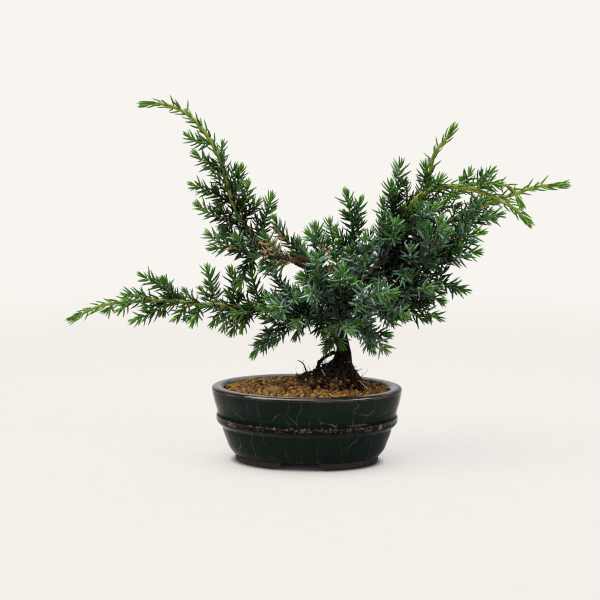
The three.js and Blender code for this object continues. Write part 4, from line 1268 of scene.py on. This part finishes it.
@dataclass(frozen=True)
class Shoot:
    """One leafy stem: its middle line at 1 mm spacing, its radii, and how old its tip counts."""

    path: Array
    foot: float
    tip: float = 0.42
    start_age: float = 0.0
    bloom: float = 0.6
    habit: Habit = Habit.CROWN
    leaf: float = 10.2

    @property
    def length(self) -> float:
        """The stem's length."""
        return float(np.linalg.norm(np.diff(self.path, axis=0), axis=1).sum())

    def ages(self, from_tip: Array, span: float) -> Array:
        """How old the shoot is at a distance from its tip: rising from its start age to 1 over a span."""
        return np.clip(self.start_age + (1 - self.start_age) * from_tip / span, 0, 1)

    def stem(self) -> Surface:
        """The stem as a tapered tube that swells a little under each whorl of leaves."""
        whip = self.habit is Habit.WHIP
        share = np.linspace(0, 1, len(self.path))
        radii = self.foot + (self.tip - self.foot) * share ** (2.5 if whip else 1.0)
        radii = radii * (1 + 0.12 * (np.arange(len(share)) % 2))
        none = np.zeros(len(share))
        marks = {"age": self.ages((1 - share) * self.length, 240.0 if whip else 45.0), "tint": none + 0.5,
                 "bloom": none, "shade": none}
        return tube(self.path, radii, 6 if self.foot > 0.8 else 5, 0, marks)

    def twigs(self, draw: np.random.Generator) -> list["Shoot"]:
        """Grows twigs round the stem at the golden angle, shorter towards its tip, lifted to the light."""
        if self.habit is Habit.TWIG:
            return []
        pitch, reach, bare, _ = self.habit.value
        along, beside, above = frames_along(self.path)
        places = np.arange(5.0, self.length - bare, pitch)
        made = []
        for k, place in enumerate(places + draw.uniform(-1.5, 1.5, len(places))):
            i = int(np.clip(place / self.length, 0, 1) * (len(self.path) - 1))
            turn = GOLDEN * k + draw.uniform(-0.5, 0.5)
            lean = draw.uniform(0.7, 1.0)
            outward = math.cos(turn) * beside[i] + math.sin(turn) * above[i]
            way = unit(math.cos(lean) * along[i] + math.sin(lean) * outward + np.array([0, 0, 0.22]))
            long = reach * draw.uniform(0.6, 1.2) * np.clip((self.length - place) / 30, 0.4, 1)
            t = np.linspace(0, 1, max(4, round(long) + 1))[:, None]
            bend = along[i] * 0.12 * long + np.array([0, 0, 0.06 * long])
            path = self.path[i] + way * long * t + bend * t * t
            age = float(np.clip(draw.normal(0.3, 0.16), 0.05, 0.7))
            bloom = float(np.clip(self.bloom + draw.normal(0, 0.2), 0.1, 1))
            made.append(Shoot(path, 0.5, 0.34, age, bloom, Habit.TWIG, self.leaf * 0.93))
        return made

    def leaves(self, draw: np.random.Generator) -> dict[str, Array]:
        """Sets leaves in whorls of three up the shoot, each whorl turned half a step, closing up at the tip.

        Args:
            draw: where the small irregularities are drawn from.

        Returns:
            Each leaf's root, way, upper side, length, age, tint and bloom.
        """
        whip = self.habit is Habit.WHIP
        crowded = [0.4, 1.4, 1.9, 2.6, 3.3, 4.0, 4.8] if whip else [0.4, 1.2, 1.8, 2.4]
        offsets = np.cumsum(np.concatenate([crowded, np.full(400, self.habit.value[3])]))
        offsets = offsets[offsets < self.length - 2]
        spot = np.repeat((1 - offsets / self.length) * (len(self.path) - 1), 3)
        low = np.clip(spot.astype(int), 0, len(self.path) - 2)
        part = (spot - low)[:, None]
        along, beside, above = (v[low] * (1 - part) + v[low + 1] * part for v in frames_along(self.path))
        centre = self.path[low] * (1 - part) + self.path[low + 1] * part
        far = np.repeat(offsets, 3)
        whorl = np.repeat(np.arange(len(offsets)), 3)
        round_stem = np.tile(np.arange(3), len(offsets)) * 2 * math.pi / 3 + whorl * math.pi / 3
        round_stem = round_stem + draw.normal(0, 0.16, len(spot))
        outward = np.cos(round_stem)[:, None] * beside + np.sin(round_stem)[:, None] * above
        if whip:
            spread = 0.26 + 0.32 * smooth_step(far, 4.0, 34.0) + draw.normal(0, 0.08, len(spot))
            spread = spread + 0.5 * (draw.random(len(spot)) > 0.88) * smooth_step(far, 5.0, 12.0)
        else:
            spread = 0.24 + 0.66 * smooth_step(far, 0.0, 6.0) + draw.normal(0, 0.13, len(spot))
        way = unit(np.cos(spread)[:, None] * along + np.sin(spread)[:, None] * outward)
        upper = unit(along - (along * way).sum(1, keepdims=True) * way + 1e-6)
        twist = draw.normal(0, 0.55, (len(spot), 1))
        upper = np.cos(twist) * upper + np.sin(twist) * np.cross(way, upper)
        radius = self.tip + (self.foot - self.tip) * np.clip(far / self.length * (3 if whip else 1), 0, 1)
        size = self.leaf * (0.62 + 0.38 * smooth_step(far, 0.0, 6.0)) * draw.uniform(0.82, 1.15, len(spot))
        root = centre + outward * (radius * (0.9 if whip else 0.6))[:, None]
        age = np.clip(self.ages(far, 170.0 if whip else 26.0) + draw.normal(0, 0.05, len(spot)), 0, 1)
        tint = draw.random(len(spot))
        bloom = self.bloom * (0.35 + 0.65 * smooth_step(far, 1.0, 9.0)) + draw.normal(0, 0.1, len(spot))
        return {"root": root, "way": way, "upper": upper, "size": size, "age": age, "tint": tint,
                "bloom": np.clip(bloom, 0, 1)}


def leaf_surface(leaves: dict[str, Array]) -> Surface:
    """Shapes awl-like leaves: a three-edged blade, flat above and keeled below, that narrows to a point.

    A point of a leaf is root + way s t + side w(t) + upper (bend t^2 - keel(t)), with t from 0 to 1 along it.

    Args:
        leaves: the roots, ways, upper sides, sizes and marks of the leaves.

    Returns:
        All of them as one surface.
    """
    t = np.array([0.0, 0.18, 0.6, 0.86])
    half = np.array([0.45, 0.8, 0.66, 0.34])
    keel = np.array([0.5, 0.98, 0.84, 0.42])
    run = np.append(np.repeat(t, 3), 1.0)
    across = np.append(np.stack([-half, half, 0 * half], -1).ravel(), 0.0)
    depth = np.append(np.stack([0 * keel, 0 * keel, -keel], -1).ravel(), 0.0)
    size = leaves["size"][:, None, None]
    side = np.cross(leaves["way"], leaves["upper"])[:, None]
    thick = np.clip(size / 8, 0.8, 1.35)
    run, across, depth = (values[None, :, None] for values in (run, across, depth))
    points = (leaves["root"][:, None] + leaves["way"][:, None] * size * run + side * across * thick
              + leaves["upper"][:, None] * (depth * thick + 0.05 * size * run ** 2))
    # The upper face takes the left half of the UV square, and the two lower faces a quarter each.
    sides = [(j, (j + 1) % 3, *run_of_u) for j, run_of_u in enumerate([(0.0, 0.5), (0.5, 0.75), (0.75, 1.0)])]
    corners, sizes, uv = [], [], []
    for k in range(3):
        for a, b, left, right in sides:
            corners += [3 * k + a, 3 * k + b, 3 * k + b + 3, 3 * k + a + 3]
            uv += [(left, t[k]), (right, t[k]), (right, t[k + 1]), (left, t[k + 1])]
            sizes.append(4)
    for a, b, left, right in sides:
        corners += [9 + a, 9 + b, 12]
        uv += [(left, t[3]), (right, t[3]), ((left + right) / 2, 1.0)]
        sizes.append(3)
    corners += [0, 2, 1]
    uv += [(0.6, 0.0), (0.7, 0.0), (0.8, 0.0)]
    sizes.append(3)
    one = Surface(points[0], np.array(corners), np.array(sizes), np.array(uv), np.full(len(sizes), 1))
    return repeated(points, one, {name: leaves[name] for name in ("age", "tint", "bloom", "shade")})


@dataclass
class Foliage:
    """All the leafy sprays, each grown on the route of the solid that it stands for."""

    dry: tuple[tuple[Place, float], ...] = (((-22.0, -8.0, 168.0), 16.0), ((20.0, -18.0, 163.0), 13.0))
    seed: int = 40

    def shoots(self, name: str, wood: list[Array], draw: np.random.Generator) -> list[Shoot]:
        """Grows one spray: its stem from the nearest wood, side shoots from the stem, and twigs on them all.

        Args:
            name: the spray's name.
            wood: the middle lines that a spray can grow from.
            draw: where its irregularities are drawn from.

        Returns:
            Its shoots, the stem first.
        """
        foot, routes = SPRAYS[name]
        whip = name.startswith("whip") or name == "upright_far_right"
        bloom = 0.24 if whip else float(np.clip(draw.normal(0.66, 0.14), 0.3, 1))
        grown: list[Shoot] = []
        for rank, route in enumerate(routes):
            points = turn_tree(route)
            parents = np.vstack(wood) if rank == 0 else grown[0].path
            points[0] = parents[np.linalg.norm(parents - points[0], axis=1).argmin()]
            slim = rank > 0 or name.startswith(("upright", "back", "leader", "low_trunk"))
            habit = Habit.WHIP if whip and rank == 0 else Habit.SIDE if slim else Habit.CROWN
            radius = foot * (1.1 if whip else 0.82) if rank == 0 else foot * 0.5
            tip, leaf = (1.05, 8.8) if habit is Habit.WHIP else (0.42, 10.2 if whip else 10.8)
            grown.append(Shoot(smooth_path(points, 1.0)[:-3], radius, tip, 0.0, bloom, habit, leaf))
        return grown + [twig for shoot in grown for twig in shoot.twigs(draw)]

    def shelter(self, roots: Array) -> Array:
        """How deep among the others each leaf sits: how many are in the 7 mm cells round it and over it.

        Args:
            roots: where the leaves grow.

        Returns:
            From 0 for a leaf in the open to 1 in the thick of the crown.
        """
        cell = np.floor((roots - roots.min(0)) / 7.0).astype(int) + 4
        counts = np.zeros(cell.max(0) + 5)
        np.add.at(counts, tuple(cell.T), 1.0)
        for axis in (0, 1, 2):
            counts = (np.roll(counts, 1, axis) + counts + np.roll(counts, -1, axis)) / 3
        over = sum(share * np.roll(counts, -up, 2) for up, share in enumerate((1.0, 0.8, 0.6, 0.4)))
        cover = over[tuple(cell.T)]
        return smooth_step(cover, *np.percentile(cover, (12, 92)))

    def build(self) -> None:
        """Makes each spray as a piece of its own."""
        finishes = [GreenShoot().material(), JuniperLeaf().material()]
        wood = [smooth_path(turn_tree(route), 1.0) for route, _ in [TRUNK, *BOUGHS]]
        shoots, leaves = {}, {}
        for number, name in enumerate(SPRAYS):
            draw = np.random.default_rng(self.seed + number)
            shoots[name] = self.shoots(name, wood, draw)
            each = [shoot.leaves(draw) for shoot in shoots[name]]
            leaves[name] = {key: np.concatenate([one[key] for one in each]) for key in each[0]}
        ends = np.cumsum([len(each["root"]) for each in leaves.values()])[:-1]
        for place, reach in self.dry:
            for name, each in leaves.items():
                near = np.linalg.norm(each["root"] - turn_tree(place), axis=1) < reach
                each["tint"] = np.where(near & (each["tint"] > 0.64), 1.0, each["tint"])
        # How deep each leaf sits, by which its material darkens it as painted shade.
        depth = np.split(self.shelter(np.concatenate([each["root"] for each in leaves.values()])), ends)
        for name, shade in zip(SPRAYS, depth):
            stems = [shoot.stem() for shoot in shoots[name]]
            spray = Surface.joined([*stems, leaf_surface({**leaves[name], "shade": shade})])
            place_piece("leafy_" + name, spray, finishes, "needles", name)


# ---------------------------------------------------------------- the studio


def stand(thing: bpy.types.Object, place: Array, back: Array, over: Place) -> None:
    """Stands a camera or a lamp, which looks along its own -Z.

    Args:
        thing: the camera or lamp.
        place: where it stands, in metres.
        back: the way from what it looks at to itself.
        over: the way that its upper side is turned.
    """
    back = unit(back)
    right = unit(np.cross(over, back))
    turned = np.eye(4)
    turned[:3] = np.column_stack([right, np.cross(back, right), back, place])
    thing.matrix_world = Matrix(turned.tolist())


@dataclass
class Studio:
    """A pale seamless floor, soft light from above, and the camera at the photograph's angle."""

    eye: Place = (-5.2, -1200.0, 277.0)
    aim: Place = (-5.2, 0.0, 127.0)
    lens: float = 92.4
    backdrop: Place = (0.939, 0.913, 0.871)
    paper: Place = (0.85, 0.818, 0.78)
    sky_power: float = 0.34
    paper_gain: float = 0.118  # how much of its light the paper gives back to the camera
    bounce: float = 0.82  # and to the tree and pot
    paper_glow: float = 0.852

    def camera(self) -> None:
        """Sets the camera up: it looks from the eye to the aim, both in the tree's frame."""
        made = add_object("camera", bpy.data.cameras.new("camera"))
        eye, aim = (turn_tree(point) * MM + POT_MIDDLE for point in (self.eye, self.aim))
        stand(made, eye, eye - aim, (0, 0, 1))
        made.data.lens = self.lens
        made.data.sensor_width = 36.0
        made.data.clip_start, made.data.clip_end = 0.05, 60.0
        bpy.context.scene.camera = made

    @staticmethod
    def lamp(name: str, place: Place, width: float, power: float, tone: str) -> None:
        """Hangs a wide soft light so far off that it is even over the floor.

        Args:
            name: the lamp's name.
            place: which way it hangs from the pot.
            width: how wide it looks from there, in degrees.
            power: in watts a square metre.
            tone: its colour.
        """
        data = bpy.data.lights.new(name, "SUN")
        data.angle, data.energy, data.color = math.radians(width), power, linear(tone)[:3]
        stand(add_object(name, data), np.array(place) + POT_MIDDLE, np.array(place), (0.01, 1, 0.02))

    def floor(self) -> None:
        """Lays a wide disc of pale paper that turns clear towards its edge, so that no horizon shows."""
        rings = np.linspace(1, 3000, 60)[:, None]
        turn = np.linspace(0, 2 * math.pi, 96, endpoint=False)[None]
        flat = np.stack([rings * np.cos(turn), rings * np.sin(turn), 0 * rings * turn], -1)[::-1]
        mesh = as_mesh("floor", ring_stack(flat, flat[0].mean(0) + np.array([0, 0, -5.0]), (0, 0, 0)))
        made, add = start_finish("seamless_paper")
        made.node_tree.nodes.clear()
        place = add("TexCoord", out="Object")
        away = add("VectorMath", {0: place}, out="Value", operation="LENGTH")
        grain = add("TexNoise", {"Vector": place, "Scale": 60.0})
        paper = add("ValToRGB", {0: grain}, [
            (0.3, (*(0.98 * v for v in self.paper), 1.0)), (0.7, (*self.paper, 1.0))])
        # The camera sees paper that glows a little, so that the shadows on it are faint.
        seen = add("LightPath", out="Is Camera Ray")
        gain = add("MapRange", {"Value": seen, "To Min": self.bounce, "To Max": self.paper_gain})
        bright = add("VectorMath", {0: paper, "Scale": gain}, operation="SCALE")
        # Near the pot, ambient occlusion dims the glow: a painted contact shadow on the paper.
        wide = add("AmbientOcclusion", {"Distance": 0.05}, out="AO", samples=16)
        hidden = add("Math", {0: 1.0, 1: wide}, operation="SUBTRACT")
        soft = add("Math", {0: hidden, 1: 2.6}, operation="POWER")
        # Right under the pot, between its feet, the glow is dimmed almost to nothing: painted shadow where next
        # to no light gets in.
        close = add("AmbientOcclusion", {"Distance": 0.012}, out="AO", samples=16)
        under = add("MapRange", {"Value": close, "From Min": 0.68, "From Max": 0.34, "To Max": 0.95})
        both = add("Math", {0: soft, 1: under}, operation="MAXIMUM")
        near = add("MapRange", {"Value": away, "From Min": 0.2, "From Max": 0.14})
        dark = add("Math", {0: both, 1: near}, operation="MULTIPLY")
        open_air = add("Math", {0: 1.0, 1: dark}, operation="SUBTRACT")
        glowing = add("Math", {0: seen, 1: open_air}, operation="MULTIPLY")
        glow = add("MapRange", {"Value": glowing, "To Max": self.paper_glow})
        lit = add("AddShader", {0: add("BsdfDiffuse", {0: bright}), 1: add("Emission", {0: paper, 1: glow})})
        fade = add("MapRange", {"Value": away, "From Min": 0.3, "From Max": 1.3},
                   interpolation_type="SMOOTHSTEP")
        clear = add("BsdfTransparent")
        add("OutputMaterial", {0: add("MixShader", {0: fade, 1: lit, 2: clear})})
        mesh.materials.append(made)
        add_object("floor", mesh)

    def sky(self) -> None:
        """Lights the tree from above and from the backdrop, which the camera sees as an even tone."""
        world = bpy.data.worlds.new("studio")
        world.use_nodes = True
        world.node_tree.nodes.clear()
        add = partial(add_node, world.node_tree)
        way = add("TexCoord", out="Generated")
        back, up = (add("SeparateXYZ", {0: way}, out=axis) for axis in "YZ")
        share = add("MapRange", {"Value": up, "From Min": -1.0})
        soft = add("ValToRGB", {0: share}, [
            (0.0, (0.08, 0.08, 0.08, 1)), (0.5, (0.12, 0.12, 0.12, 1)), (0.68, (0.5, 0.51, 0.53, 1)),
            (1.0, (0.8, 0.8, 0.8, 1))])
        behind = add("MapRange", {"Value": back, "From Min": 0.1, "From Max": 0.9, "To Max": 1.2})
        both = add("VectorMath", {0: soft, 1: behind}, operation="ADD")
        light = add("Background", {0: both, 1: self.sky_power})
        shown = add("Background", {0: (*self.backdrop, 1.0)})
        seen = add("LightPath", out="Is Camera Ray")
        add("OutputWorld", {0: add("MixShader", {0: seen, 1: light, 2: shown})})
        bpy.context.scene.world = world

    def build(self) -> None:
        """Sets up the camera, floor, sky and lamps."""
        view = bpy.context.scene.view_settings
        view.view_transform, view.look = "Standard", "None"
        bpy.context.scene.cycles.filter_width = 1.1
        self.camera()
        self.floor()
        self.sky()
        self.lamp("key", (-0.5, -0.45, 1.25), 50.0, 3.9, "#fff8ee")
        self.lamp("top", (0.2, 0.5, 1.4), 70.0, 1.3, "#ffffff")
        self.lamp("fill", (1.3, -0.7, 0.9), 24.0, 0.9, "#f2f6ff")
        self.lamp("window", (-0.4, 1.0, 0.34), 38.0, 0.14, "#ffffff")


def main() -> None:
    """Builds the whole in order."""
    logging.basicConfig(level=logging.INFO, format="%(name)s: %(message)s")
    for part in (Studio(), Pot(), Soil(), Wood(), Foliage()):
        LOG.info("building the %s", type(part).__name__.lower())
        part.build()


if __name__ == "__main__":
    main()
